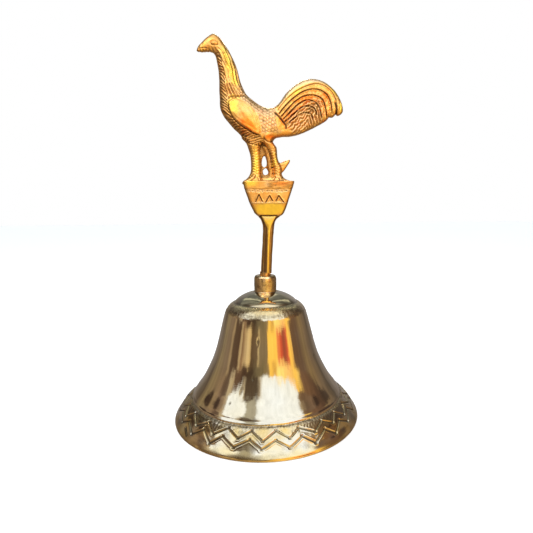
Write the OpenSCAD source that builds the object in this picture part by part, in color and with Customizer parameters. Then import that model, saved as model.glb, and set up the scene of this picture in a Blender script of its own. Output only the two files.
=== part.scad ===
// Small brass hand bell with a rooster handle, for household worship.
// Frame: +Z up, origin at the centre of the bell's lip plane, on its axis.
// The rooster stands in the XZ plane and faces -X. All sizes in millimetres.

/* [Bell] */
// Radius of the bell at its lip, to the widest point
lip_r = 37.95; // [37.6:0.05:38.3]
// Height of the bell from the lip to the collar seat on the crown
crown_z = 51.7; // [51.4:0.1:52]
// Radius of the hole through the crown for the handle's shank
crown_hole_r = 2.05; // [2:0.01:2.1]
// Thickness of the crown under the collar
crown_t = 3.1; // [2.8:0.1:3.2]
// Depth of the turned ring line above the zigzag band
ring_depth = 0.25; // [0.1:0.05:0.4]

/* [Collar] */
// Largest radius of the turned collar between bell and stem
collar_r = 4.62; // [4.4:0.02:4.8]
// Height of the collar
collar_h = 6.6; // [6.3:0.1:6.7]
// Radius of the collar's bore
collar_bore_r = 1.97; // [1.95:0.01:2]
// Radius of the conical recess that the stem's foot sits in
recess_r = 2.5; // [2.45:0.01:2.6]

/* [Handle] */
// Radius of the handle's round shank, threaded at its lower end
shank_r = 1.9; // [1.88:0.01:1.92]
// Radius of the stem at its foot
stem_r = 2.2; // [2.18:0.01:2.25]
// Lean of the stem towards the tail, in degrees
stem_lean = 4; // [3:0.5:5]
// Half thickness of the rooster's body, front to back of the casting
body_y = 4.6; // [4:0.1:5]
// Half thickness of the tail
tail_y = 2.3; // [1.8:0.1:2.6]
// Half depth of the pedestal at its top
pedestal_y = 4.7; // [4:0.1:5]
// Thickness of the two filed flats at the end of the shank
tongue_t = 1.2; // [1.1:0.05:1.3]

/* [Fasteners] */
// Outer radius of the washer under the crown
washer_r = 4.5; // [4.2:0.1:5]
// Thickness of the washer
washer_t = 0.8; // [0.6:0.1:1]
// Width of the hexagon nut across its flats
nut_af = 7; // [6.8:0.1:7.2]
// Height of the nut
nut_h = 3.2; // [3:0.1:3.2]

/* [Clapper] */
// Radius of the link's wire
wire_r = 0.5; // [0.45:0.01:0.52]
// Radius of the link, to the middle of its wire
link_r = 2.6; // [2.58:0.01:2.65]
// Radius of the holes that the link passes through
eye_r = 1.2; // [1.18:0.01:1.22]
// Radius of the clapper's rod
rod_r = 1.2; // [1.1:0.05:1.25]
// Radius of the clapper's ball
ball_r = 6; // [5.6:0.1:6]
// Height of the middle of the ball above the lip plane
ball_z = 8.2; // [8.1:0.1:8.6]

/* [Hidden] */
$fn = 96;

// Height of the stem's seat inside the collar, from the collar's foot
seat_h = 5.35;
foot_z = crown_z + seat_h;
// Heights down the inside of the bell
inner_z = crown_z - crown_t;
washer_z = inner_z - washer_t;
nut_z = washer_z - nut_h;
tongue_z = nut_z - 2.4;          // middle of the hole in the shank's end
link_z = tongue_z - 0.39 - link_r; // middle of the link
eye_z = link_z - link_r - 0.39;  // middle of the hole in the clapper's eye

// Rooster: sections across the head, neck, body and tail. Each is
// [lower or front edge x, z, upper or back edge x, z, half thickness]
head_neck = [
  [-24.6, 144.4, -24.4, 144.9, 0.3],
  [-23.3, 144.0, -23.5, 146.6, 1.0],
  [-21.6, 144.0, -21.1, 148.7, 1.7],
  [-19.8, 144.1, -18.5, 150.3, 2.3],
  [-18.5, 143.8, -16.4, 149.5, 2.7],
  [-17.7, 142.7, -14.2, 147.0, 2.8],
  [-17.2, 140.3, -12.2, 143.8, 2.8],
  [-16.7, 136.5, -10.0, 139.0, 2.8],
  [-16.4, 132.2, -8.8, 135.0, 3.0],
  [-16.4, 127.6, -7.9, 131.5, 3.4]];
body_secs = [
  [-16.1, 122.8, -6.3, 128.7, 4.0],
  [-13.5, 118.4, -3.2, 126.1, body_y - 0.2],
  [-10.2, 114.8, 0.0, 124.3, body_y],
  [-6.6, 111.8, 3.0, 123.4, body_y],
  [-0.8, 110.8, 4.8, 124.1, body_y - 0.6],
  [4.2, 112.7, 7.0, 126.4, body_y - 1.4]];
tail_secs = [
  [8.5, 112.9, 10.6, 130.6, tail_y + 0.3],
  [12.6, 113.4, 14.8, 133.4, tail_y],
  [16.8, 114.8, 18.8, 134.5, tail_y],
  [20.8, 116.8, 22.6, 134.0, tail_y - 0.1],
  [24.4, 118.8, 26.2, 132.0, tail_y - 0.3],
  [27.4, 120.5, 28.9, 129.2, tail_y - 0.5],
  [29.6, 121.3, 30.6, 126.0, tail_y - 0.9],
  [30.8, 122.3, 31.3, 123.9, 0.7]];
front_leg = [
  [-9.0, 116.0, 0.0, 114.5, 3.4],
  [-6.6, 111.0, -1.2, 110.4, 2.7],
  [-5.4, 107.4, -1.4, 107.2, 2.1],
  [-4.9, 103.0, -1.1, 103.0, 1.9],
  [-5.0, 100.0, -0.9, 100.0, 1.9],
  [-5.9, 97.6, -0.6, 97.6, 2.2],
  [-7.6, 95.9, 0.0, 95.9, 2.8],
  [-7.6, 94.6, 0.0, 94.6, 2.8]];
rear_leg = [
  [0.0, 114.0, 6.0, 113.6, 3.3],
  [0.8, 110.6, 4.2, 110.9, 2.4],
  [2.0, 107.6, 5.3, 108.0, 2.0],
  [3.1, 104.2, 6.0, 104.0, 1.8],
  [3.5, 100.6, 6.8, 100.6, 1.8],
  [3.4, 98.0, 7.6, 98.0, 2.1],
  [2.8, 95.9, 10.4, 95.9, 2.7],
  [2.8, 94.6, 10.4, 94.6, 2.7]];
// Pedestal and the flare under it: [middle x, z, half width, half depth]
pedestal = [
  [1.95, 95.8, 9.9, pedestal_y - 0.2],
  [1.95, 95.3, 10.1, pedestal_y],
  [1.9, 91.0, 8.7, pedestal_y - 0.6],
  [1.95, 84.2, 6.1, pedestal_y - 1.4],
  [2.05, 82.6, 5.0, pedestal_y - 1.9],
  [1.9, 81.0, 3.3, 2.6],
  [1.75, 78.6, 2.2, 2.1]];

// A ring of points round one section; k squares it off
function seg_ring(s, n) = [for (i = [0:n-1]) let (a = 360*i/n)
  [(s[0]+s[2])/2 + (s[2]-s[0])/2*cos(a), s[4]*sin(a),
   (s[1]+s[3])/2 + (s[3]-s[1])/2*cos(a)]];
function sq(v, k) = sign(v)*pow(abs(v), k);
function box_ring(s, n) = [for (i = [0:n-1]) let (a = 360*i/n)
  [s[0] + s[2]*sq(cos(a), 0.45), s[3]*sq(sin(a), 0.45), s[1]]];

// Closed skin over a list of rings that all have n points
module skin(rings, n) {
  m = len(rings);
  pts = [for (r = rings) for (p = r) p];
  polyhedron(points = pts, faces = concat(
    [[for (i = [0:n-1]) n-1-i]],
    [for (j = [0:m-2]) for (i = [0:n-1]) let (k = (i+1) % n) each
      [[j*n+i, j*n+k, (j+1)*n+k], [j*n+i, (j+1)*n+k, (j+1)*n+i]]],
    [[for (i = [0:n-1]) (m-1)*n+i]]), convexity = 8);
}

module bell_shell() color([0.72, 0.6, 0.36]) rotate_extrude($fn = 192) polygon([
  [crown_hole_r, inner_z], [6.5, inner_z], [9, 47.8], [11.6, 46.4],
  [13.4, 44.6], [14.7, 42.2], [15.8, 38.8], [16.9, 34.4], [18.1, 29.8],
  [19.7, 25.2], [21.8, 20.6], [23.9, 16.6], [26.4, 12.9], [28.6, 9.7],
  [31.6, 6.4], [34.2, 2.8], [35.6, 0], [lip_r - 0.8, 0], [lip_r - 0.2, 0.3],
  [lip_r, 0.9], [lip_r - 0.45, 1.6], [36.22, 3.3], [34.65, 5.7], [31.5, 8.6],
  [30.75 - ring_depth, 9.3], [30.55 - ring_depth, 9.8], [29.9, 10.7],
  [29.21, 11.8], [26.45, 15.6], [24.08, 19.9], [21.92, 24.6], [20.33, 29.3],
  [19.07, 34.1], [17.92, 38.8], [16.88, 42.6], [16.3, 44.2], [15.47, 45.5],
  [14.4, 46.6], [13.3, 47.3], [12.7, 47.7], [11.6, 48.7], [9.8, 49.9],
  [7.6, 50.9], [5.8, 51.5], [4.9, crown_z], [crown_hole_r, crown_z]]);

module handle_casting() color([0.86, 0.62, 0.24]) difference() {
  union() {
    // rooster
    skin([for (s = concat(head_neck, body_secs, tail_secs)) seg_ring(s, 20)], 20);
    skin([for (s = front_leg) seg_ring(s, 14)], 14);
    skin([for (s = rear_leg) seg_ring(s, 14)], 14);
    // spur
    translate([0, 0.9, 0]) rotate([90, 0, 0]) linear_extrude(1.8) polygon([
      [4.5, 101.8], [6.6, 102.8], [8.2, 103.6], [10.3, 104.1], [9.9, 102.4],
      [8.6, 100.7], [7.3, 99.2], [4.5, 98.5]]);
    // thin web of flash between the legs
    translate([0, 0.6, 0]) rotate([90, 0, 0]) linear_extrude(1.2) difference() {
      polygon([[-3, 111], [3, 111], [4.5, 106], [4.5, 95], [-3, 95]]);
      polygon([[-0.7, 102.3], [-0.6, 104.4], [0.3, 106.1], [1.2, 104.9],
               [1.4, 103], [0.9, 101.7]]);
      polygon([[-0.3, 100], [0.2, 101], [1.7, 100.8], [1.9, 99.5], [1.2, 98.4],
               [0.2, 98.4]]);
    }
    // pedestal, flaring in to the stem
    skin([for (s = pedestal) box_ring(s, 28)], 28);
    // stem
    translate([0.2, 0, foot_z + 1.5]) rotate([0, stem_lean, 0])
      cylinder(h = 22, r1 = stem_r, r2 = stem_r + 0.15);
    translate([0, 0, foot_z]) cylinder(h = 1.6, r = stem_r - 0.05);
    // shank, threaded below the crown and filed flat at its end
    translate([0, 0, nut_z - 0.4]) cylinder(h = 58 - nut_z, r = shank_r);
    intersection() {
      union() {
        translate([0, 3, tongue_z]) rotate([90, 0, 0]) cylinder(h = 6, r = shank_r);
        translate([-shank_r, -3, tongue_z]) cube([2*shank_r, 6, 2.6]);
      }
      translate([-3, -tongue_t/2, tongue_z - 3]) cube([6, tongue_t, 6]);
      translate([0, 0, tongue_z - 3]) cylinder(h = 7, r = shank_r);
    }
  }
  // hole for the link
  translate([0, 4, tongue_z]) rotate([90, 0, 0]) cylinder(h = 8, r = eye_r);
}

module neck_collar() color([0.66, 0.53, 0.3]) translate([0, 0, crown_z])
  rotate_extrude() polygon([
    [collar_bore_r, 0], [collar_r - 0.25, 0], [collar_r - 0.08, 0.5],
    [collar_r, 2.2], [collar_r, 3.8], [collar_r - 0.1, 5.2],
    [collar_r - 0.3, 6], [collar_r - 0.75, collar_h - 0.1],
    [collar_r - 1, collar_h], [recess_r, collar_h],
    [recess_r - 0.25, collar_h - 0.5], [recess_r - 0.29, seat_h],
    [collar_bore_r, seat_h]]);

module crown_washer() color([0.8, 0.66, 0.35]) translate([0, 0, washer_z])
  difference() {
    cylinder(h = washer_t, r = washer_r);
    translate([0, 0, -1]) cylinder(h = washer_t + 2, r = crown_hole_r);
  }

module crown_nut() color([0.75, 0.75, 0.73]) translate([0, 0, nut_z])
  difference() {
    cylinder(h = nut_h, r = nut_af/2/cos(30), $fn = 6);
    translate([0, 0, -1]) cylinder(h = nut_h + 2, r = shank_r + 0.03);
  }

module hanger_link() color([0.7, 0.7, 0.7]) translate([0, 0, link_z])
  rotate([0, 90, 0]) rotate_extrude()
    translate([link_r, 0]) circle(r = wire_r, $fn = 32);

module clapper_rod() color([0.78, 0.64, 0.36]) {
  difference() {
    union() {
      translate([0, tongue_t/2, eye_z]) rotate([90, 0, 0])
        cylinder(h = tongue_t, r = 1.9);
      translate([0, tongue_t/2, 0]) rotate([90, 0, 0])
        linear_extrude(tongue_t) polygon([[-1.88, eye_z + 0.2],
          [1.88, eye_z + 0.2], [1.88, eye_z - 0.8], [1.1, eye_z - 3.2],
          [-1.1, eye_z - 3.2], [-1.88, eye_z - 0.8]]);
      translate([0, 0, eye_z - 2.2 - (eye_z - 4.6)])
        cylinder(h = eye_z - 4.6, r = rod_r);
      // riveted end under the ball
      translate([0, 0, ball_z - 6.3]) cylinder(h = 0.62, r1 = 1.1, r2 = 1.7);
    }
    translate([0, 2, eye_z]) rotate([90, 0, 0]) cylinder(h = 4, r = eye_r);
  }
}

module clapper_ball() color([0.8, 0.63, 0.3]) translate([0, 0, ball_z])
  difference() {
    sphere(r = ball_r);
    translate([0, 0, -ball_r]) cylinder(h = 2*ball_r, r = rod_r + 0.02);
    translate([0, 0, -ball_r - 1]) cylinder(h = 1.33, r = 3);
  }

bell_shell();
handle_casting();
neck_collar();
crown_washer();
crown_nut();
hanger_link();
clapper_rod();
clapper_ball();
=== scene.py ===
import math

import bpy
import numpy as np
from mathutils import Matrix, Vector


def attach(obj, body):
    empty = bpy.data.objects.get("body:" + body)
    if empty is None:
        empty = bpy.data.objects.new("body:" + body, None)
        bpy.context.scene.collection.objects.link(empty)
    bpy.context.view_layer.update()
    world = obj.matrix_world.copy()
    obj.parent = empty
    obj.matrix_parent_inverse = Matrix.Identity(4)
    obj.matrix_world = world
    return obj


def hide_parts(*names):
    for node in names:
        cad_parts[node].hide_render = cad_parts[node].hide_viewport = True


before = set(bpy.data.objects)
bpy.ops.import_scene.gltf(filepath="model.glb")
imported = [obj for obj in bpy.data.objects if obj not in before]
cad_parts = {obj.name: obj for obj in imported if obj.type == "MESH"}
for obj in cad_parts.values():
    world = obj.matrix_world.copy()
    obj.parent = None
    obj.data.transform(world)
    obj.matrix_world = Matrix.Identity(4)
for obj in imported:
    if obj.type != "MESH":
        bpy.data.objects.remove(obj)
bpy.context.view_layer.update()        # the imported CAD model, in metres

MM = 0.001

# ---------------------------------------------------------------- camera
scene = bpy.context.scene
cam_data = bpy.data.cameras.new("camera")
cam = bpy.data.objects.new("camera", cam_data)
scene.collection.objects.link(cam)
scene.camera = cam
cam_data.sensor_fit = "HORIZONTAL"
cam_data.sensor_width = 36.0
cam_data.lens = 28.03
cam_data.shift_x = -0.0403
cam_data.shift_y = 0.0
cam_data.clip_start = 0.01
cam_data.clip_end = 20.0
cam_data.dof.use_dof = False
cam.matrix_world = (
    Matrix.Translation((0.0, -0.1679, 0.0836))
    @ Matrix.Rotation(math.radians(-3.19), 4, "Z")
    @ Matrix.Rotation(math.radians(90 - 7.45), 4, "X")
    @ Matrix.Rotation(math.radians(-0.44), 4, "Z")
)


# ---------------------------------------------------------------- small tools
def curve(points, n=5, closed=False):
    """A Catmull-Rom curve through the points, n steps to a span."""
    P = np.asarray(points, float)
    m = len(P)
    out = []
    spans = m if closed else m - 1
    for i in range(spans):
        if closed:
            a, b, c, d = P[(i - 1) % m], P[i], P[(i + 1) % m], P[(i + 2) % m]
        else:
            b, c = P[i], P[i + 1]
            a = P[i - 1] if i > 0 else 2 * b - c
            d = P[i + 2] if i + 2 < m else 2 * c - b
        for k in range(n):
            t = k / n
            out.append(0.5 * (2 * b + (c - a) * t + (2 * a - 5 * b + 4 * c - d) * t * t
                              + (3 * b - a - 3 * c + d) * t * t * t))
    if not closed:
        out.append(P[-1])
    return np.array(out)


def near(x, z, poly, closed=False):
    """Distance to a polyline, arc length at the nearest point, and signed side (+ is left of it)."""
    P = np.asarray(poly, float)
    A = P if closed else P[:-1]
    B = np.roll(P, -1, 0) if closed else P[1:]
    best = np.full(x.shape, 1e12)
    arc = np.zeros(x.shape)
    side = np.zeros(x.shape)
    s0 = 0.0
    for a, b in zip(A, B):
        d = b - a
        l2 = float(d @ d)
        if l2 < 1e-12:
            continue
        ln = math.sqrt(l2)
        t = np.clip(((x - a[0]) * d[0] + (z - a[1]) * d[1]) / l2, 0, 1)
        ex, ez = x - a[0] - t * d[0], z - a[1] - t * d[1]
        dd = ex * ex + ez * ez
        m = dd < best
        best = np.where(m, dd, best)
        arc = np.where(m, s0 + t * ln, arc)
        side = np.where(m, d[0] * ez - d[1] * ex, side)
        s0 += ln
    return np.sqrt(best), arc, np.sign(side)


def inside(x, z, poly):
    P = np.asarray(poly, float)
    r = np.zeros(x.shape, bool)
    for a, b in zip(P, np.roll(P, -1, 0)):
        if a[1] == b[1]:
            continue
        hit = ((a[1] > z) != (b[1] > z)) & (x < (b[0] - a[0]) * (z - a[1]) / (b[1] - a[1]) + a[0])
        r ^= hit
    return r


def depth_in(x, z, poly):
    """Signed distance to a closed outline, positive inside."""
    d, _, _ = near(x, z, poly, True)
    return np.where(inside(x, z, poly), d, -d)


def step(v, lo, hi):
    t = np.clip((v - lo) / (hi - lo), 0, 1)
    return t * t * (3 - 2 * t)


def smin(a, b, k):
    h = np.clip(0.5 + 0.5 * (b - a) / k, 0, 1)
    return b + (a - b) * h - k * h * (1 - h)


def smax(a, b, k):
    return -smin(-a, -b, k)


def waves(x, y, z, scale, seed):
    """A smooth, seeded, even ripple in about -1..1, for hand work and casting unevenness."""
    rng = np.random.RandomState(seed)
    out = np.zeros(np.shape(x))
    for _ in range(9):
        k = rng.normal(size=3)
        k /= np.linalg.norm(k)
        f = (0.7 + 1.1 * rng.rand()) * 2 * math.pi / scale
        out = out + np.sin(f * (k[0] * x + k[1] * y + k[2] * z) + rng.rand() * 6.283)
    return out / 4.0


def surface_nets(F, origin, h):
    """Closed quad mesh of the level 0 of F, negative inside."""
    S = F < 0
    n = np.array(F.shape)
    total = np.zeros(n - 1, np.uint8)
    for dx in (0, 1):
        for dy in (0, 1):
            for dz in (0, 1):
                total += S[dx:n[0] - 1 + dx, dy:n[1] - 1 + dy, dz:n[2] - 1 + dz]
    cells = np.argwhere((total > 0) & (total < 8))
    index = np.full(n - 1, -1, np.int64)
    index[tuple(cells.T)] = np.arange(len(cells))
    corners = [(a, b, c) for a in (0, 1) for b in (0, 1) for c in (0, 1)]
    vals = {q: F[cells[:, 0] + q[0], cells[:, 1] + q[1], cells[:, 2] + q[2]] for q in corners}
    acc = np.zeros((len(cells), 3))
    cnt = np.zeros(len(cells))
    for q in corners:
        for ax in range(3):
            if q[ax]:
                continue
            r = tuple(1 if i == ax else q[i] for i in range(3))
            a, b = vals[q], vals[r]
            m = (a < 0) != (b < 0)
            t = np.where(m, a / np.where(a == b, 1, a - b), 0)
            p = np.tile(np.array(q, float), (len(cells), 1))
            p[:, ax] += t
            acc += np.where(m[:, None], p, 0)
            cnt += m
    verts = cells + acc / cnt[:, None]
    quads = []
    for ax in range(3):
        u, v = [i for i in range(3) if i != ax]
        lo = [slice(None)] * 3
        hi = [slice(None)] * 3
        lo[ax], hi[ax] = slice(0, -1), slice(1, None)
        cross = S[tuple(lo)] != S[tuple(hi)]
        e = np.argwhere(cross)
        e = e[(e[:, u] > 0) & (e[:, v] > 0) & (e[:, u] < n[u] - 1) & (e[:, v] < n[v] - 1)]
        out_pos = S[e[:, 0], e[:, 1], e[:, 2]]

        def at(du, dv):
            c = e.copy()
            c[:, u] += du
            c[:, v] += dv
            return index[c[:, 0], c[:, 1], c[:, 2]]
        q = np.stack([at(-1, -1), at(0, -1), at(0, 0), at(-1, 0)], 1)
        flip = out_pos if ax != 1 else ~out_pos
        quads.append(np.where(flip[:, None], q, q[:, ::-1]))
    return verts * h + np.asarray(origin), np.concatenate(quads)


def sample(F, origin, h, P):
    g = (P - np.asarray(origin)) / h
    i = np.clip(np.floor(g).astype(int), 0, np.array(F.shape) - 2)
    f = g - i
    out = 0
    for a in (0, 1):
        for b in (0, 1):
            for c in (0, 1):
                w = ((f[:, 0] if a else 1 - f[:, 0]) * (f[:, 1] if b else 1 - f[:, 1])
                     * (f[:, 2] if c else 1 - f[:, 2]))
                out = out + w * F[i[:, 0] + a, i[:, 1] + b, i[:, 2] + c]
    return out


def gradient(F, origin, h, P):
    g = np.zeros_like(P)
    for ax in range(3):
        d = np.zeros(3)
        d[ax] = 0.5 * h
        g[:, ax] = (sample(F, origin, h, P + d) - sample(F, origin, h, P - d)) / h
    return g


def relax(P, quads, F, origin, h, times=2):
    """Evens the mesh out and puts it back on the surface."""
    e = np.concatenate([quads[:, [0, 1]], quads[:, [1, 2]], quads[:, [2, 3]], quads[:, [3, 0]]])
    for _ in range(times):
        acc = np.zeros_like(P)
        cnt = np.zeros(len(P))
        for a, b in ((0, 1), (1, 0)):
            for ax in range(3):
                acc[:, ax] += np.bincount(e[:, a], P[e[:, b], ax], len(P))
            cnt += np.bincount(e[:, a], minlength=len(P))
        P = 0.5 * P + 0.5 * acc / cnt[:, None]
        for _ in range(2):
            g = gradient(F, origin, h, P)
            f = sample(F, origin, h, P)
            n2 = np.maximum((g * g).sum(1), 0.05)
            move = -(f / n2)[:, None] * g
            ln = np.linalg.norm(move, axis=1)
            move *= np.minimum(1, 0.6 * h / np.maximum(ln, 1e-9))[:, None]
            P = P + move
    return P


def vertex_normals(P, faces):
    a, b, c, d = (P[faces[:, i]] for i in range(4))
    fn = np.cross(c - a, d - b)
    out = np.zeros_like(P)
    for i in range(4):
        for ax in range(3):
            out[:, ax] += np.bincount(faces[:, i], fn[:, ax], len(P))
    return out / np.maximum(np.linalg.norm(out, axis=1), 1e-12)[:, None]


def neighbour_mean(values, quads, count):
    e = np.concatenate([quads[:, [0, 1]], quads[:, [1, 2]], quads[:, [2, 3]], quads[:, [3, 0]]])
    acc = np.bincount(e[:, 0], values[e[:, 1]], count) + np.bincount(e[:, 1], values[e[:, 0]], count)
    cnt = np.bincount(e[:, 0], minlength=count) + np.bincount(e[:, 1], minlength=count)
    return acc / np.maximum(cnt, 1)


def concavity(P, N, quads, blur=2):
    m = np.stack([neighbour_mean(P[:, i], quads, len(P)) for i in range(3)], 1)
    c = ((m - P) * N).sum(1)
    for _ in range(blur):
        c = neighbour_mean(c, quads, len(P))
    return c


def make_mesh(name, P, faces, body, node, material, attributes=None, smooth=True):
    me = bpy.data.meshes.new(name)
    me.from_pydata((np.asarray(P) * MM).tolist(), [], [list(map(int, f)) for f in faces])
    me.update()
    for key, val in (attributes or {}).items():
        at = me.attributes.new(key, "FLOAT", "POINT")
        at.data.foreach_set("value", np.asarray(val, np.float32))
    me.polygons.foreach_set("use_smooth", [smooth] * len(me.polygons))
    me.materials.append(material)
    ob = bpy.data.objects.new(name, me)
    scene.collection.objects.link(ob)
    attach(ob, body)
    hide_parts(node)
    return ob


def decimate(ob, target):
    """Merges the flattest faces until at most target triangles are left."""
    tris = sum(len(p.vertices) - 2 for p in ob.data.polygons)
    if tris <= target:
        return
    tri = ob.modifiers.new("tri", "TRIANGULATE")
    dec = ob.modifiers.new("dec", "DECIMATE")
    dec.ratio = target / tris
    deps = bpy.context.evaluated_depsgraph_get()
    me = bpy.data.meshes.new_from_object(ob.evaluated_get(deps))
    ob.modifiers.clear()
    old = ob.data
    ob.data = me
    bpy.data.meshes.remove(old)
    me.polygons.foreach_set("use_smooth", [True] * len(me.polygons))


# ---------------------------------------------------------------- materials
def nodes_of(name):
    m = bpy.data.materials.new(name)
    m.use_nodes = True
    nt = m.node_tree
    nt.nodes.clear()
    out = nt.nodes.new("ShaderNodeOutputMaterial")
    bs = nt.nodes.new("ShaderNodeBsdfPrincipled")
    nt.links.new(bs.outputs["BSDF"], out.inputs["Surface"])
    return m, nt, bs


def link(nt, a, b):
    nt.links.new(a, b)


def noise(nt, scale, detail=4.0, rough=0.55, coords=None, stretch=None):
    n = nt.nodes.new("ShaderNodeTexNoise")
    n.inputs["Scale"].default_value = scale
    n.inputs["Detail"].default_value = detail
    n.inputs["Roughness"].default_value = rough
    if coords is not None:
        src = coords
        if stretch:
            mp = nt.nodes.new("ShaderNodeMapping")
            mp.inputs["Scale"].default_value = stretch
            link(nt, src, mp.inputs["Vector"])
            src = mp.outputs["Vector"]
        link(nt, src, n.inputs["Vector"])
    return n.outputs["Fac"]


def ramp(nt, fac, stops, interp="LINEAR"):
    r = nt.nodes.new("ShaderNodeValToRGB")
    r.color_ramp.interpolation = interp
    while len(r.color_ramp.elements) < len(stops):
        r.color_ramp.elements.new(0.5)
    for e, (pos, col) in zip(r.color_ramp.elements, stops):
        e.position = pos
        e.color = (*col, 1) if len(col) == 3 else col
    if fac is not None:
        link(nt, fac, r.inputs["Fac"])
    return r.outputs["Color"]


def gray(v):
    return (v, v, v)


def mix(nt, fac, a, b, kind="MIX"):
    m = nt.nodes.new("ShaderNodeMix")
    m.data_type = "RGBA"
    m.blend_type = kind
    if isinstance(fac, float):
        m.inputs[0].default_value = fac
    else:
        link(nt, fac, m.inputs[0])
    for sock, v in ((m.inputs[6], a), (m.inputs[7], b)):
        if isinstance(v, tuple):
            sock.default_value = (*v, 1)
        else:
            link(nt, v, sock)
    return m.outputs[2]


def mathn(nt, op, a, b=None, c=None, clamp=False):
    m = nt.nodes.new("ShaderNodeMath")
    m.operation = op
    m.use_clamp = clamp
    for i, v in enumerate((a, b, c)):
        if v is None:
            continue
        if isinstance(v, (int, float)):
            m.inputs[i].default_value = v
        else:
            link(nt, v, m.inputs[i])
    return m.outputs[0]


def bump(nt, bs, height, strength, distance):
    b = nt.nodes.new("ShaderNodeBump")
    b.inputs["Strength"].default_value = strength
    b.inputs["Distance"].default_value = distance
    link(nt, height, b.inputs["Height"])
    link(nt, b.outputs["Normal"], bs.inputs["Normal"])


def attribute(nt, name):
    a = nt.nodes.new("ShaderNodeAttribute")
    a.attribute_name = name
    return a.outputs["Fac"]


def obj_coords(nt):
    t = nt.nodes.new("ShaderNodeTexCoord")
    return t.outputs["Object"]


def cast_brass():
    """Golden satin casting: painted yellow highlights and painted warm reflections from an attribute, painted shade and
    some grime in the hollows, fine sand grain.
    """
    m, nt, bs = nodes_of("cast_brass")
    co = obj_coords(nt)
    shade_grime = attribute(nt, "shade_and_grime")
    tint_with_painted_light = attribute(nt, "tint_with_painted_light")
    pale = attribute(nt, "pale")
    big = noise(nt, 260, 3, 0.5, co)
    fine = noise(nt, 2600, 5, 0.65, co)
    base = ramp(nt, big, [(0.3, (0.82, 0.40, 0.10)), (0.52, (0.88, 0.475, 0.14)), (0.72, (0.91, 0.54, 0.19))])
    spots = noise(nt, 900, 4, 0.6, co)
    base = mix(nt, ramp(nt, spots, [(0.56, gray(0)), (0.75, gray(0.55))]), base, (0.62, 0.30, 0.075))
    # yellow in this tint is painted highlight, red-orange is painted warm reflection
    tint = mathn(nt, "ADD", tint_with_painted_light, mathn(nt, "MULTIPLY", mathn(nt, "SUBTRACT", spots, 0.5), 0.22), clamp=True)
    base = mix(nt, ramp(nt, tint, [(0.0, gray(1)), (0.42, gray(0))]), base, (0.95, 0.25, 0.035))
    base = mix(nt, ramp(nt, tint, [(0.58, gray(0)), (1.0, gray(1))]), base, (1.0, 0.69, 0.10))
    base = mix(nt, pale, base, (0.88, 0.66, 0.40))
    # darkness attribute plus fine noise: painted shade in hollows and grooves, with some grime
    shade_and_grime_mask = mathn(nt, "ADD", shade_grime, mathn(nt, "MULTIPLY", mathn(nt, "SUBTRACT", fine, 0.5), 0.35), clamp=True)
    dark = ramp(nt, shade_and_grime_mask, [(0.12, gray(0)), (0.45, gray(0.6)), (0.85, gray(1))])
    col = mix(nt, dark, base, (0.125, 0.064, 0.026))
    link(nt, col, bs.inputs["Base Color"])
    bs.inputs["Metallic"].default_value = 1.0
    rough = ramp(nt, fine, [(0.3, gray(0.35)), (0.7, gray(0.48))])
    rough = mix(nt, dark, rough, gray(0.62))
    link(nt, rough, bs.inputs["Roughness"])
    h = mathn(nt, "ADD", mathn(nt, "MULTIPLY", fine, 0.5), mathn(nt, "MULTIPLY", spots, 0.5))
    bump(nt, bs, h, 0.28, 0.0001)
    return m


def bell_brass():
    """Polished, slightly greyed brass with turned hairlines, light handling haze and a matte shoulder band."""
    m, nt, bs = nodes_of("bell_brass")
    co = obj_coords(nt)
    shade_grime = attribute(nt, "shade_and_grime")
    matte = attribute(nt, "matte")
    big = noise(nt, 90, 4, 0.55, co)
    fine = noise(nt, 1800, 4, 0.6, co)
    lines = noise(nt, 60, 2, 0.5, co, (0.2, 0.2, 55.0))
    base = ramp(nt, big, [(0.3, (0.70, 0.56, 0.36)), (0.55, (0.76, 0.61, 0.395)), (0.75, (0.795, 0.65, 0.435))])
    base = mix(nt, attribute(nt, "warm"), base, (0.84, 0.58, 0.22))
    # darkness attribute plus fine noise: painted shade in the cut lines, grooves and dents, with some grime
    shade_and_grime_mask = mathn(nt, "ADD", shade_grime, mathn(nt, "MULTIPLY", mathn(nt, "SUBTRACT", fine, 0.5), 0.3), clamp=True)
    dark = ramp(nt, shade_and_grime_mask, [(0.12, gray(0)), (0.5, gray(0.6)), (0.9, gray(1))])
    col = mix(nt, dark, base, (0.11, 0.075, 0.04))
    speck = ramp(nt, noise(nt, 700, 3, 0.7, co), [(0.70, gray(0)), (0.78, gray(0.5))])
    col = mix(nt, speck, col, (0.30, 0.22, 0.13))
    link(nt, col, bs.inputs["Base Color"])
    bs.inputs["Metallic"].default_value = 1.0
    rough = ramp(nt, big, [(0.3, gray(0.025)), (0.7, gray(0.065))])
    rough = mix(nt, ramp(nt, lines, [(0.5, gray(0)), (0.75, gray(0.2))]), rough, gray(0.13))
    rough = mix(nt, matte, rough, gray(0.42))
    rough = mix(nt, dark, rough, gray(0.55))
    link(nt, rough, bs.inputs["Roughness"])
    h = mathn(nt, "ADD", mathn(nt, "MULTIPLY", lines, 0.35),
              mathn(nt, "MULTIPLY", fine, mathn(nt, "ADD", mathn(nt, "MULTIPLY", matte, 4.2), 0.14)))
    bump(nt, bs, h, 0.16, 0.00008)
    return m


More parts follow.
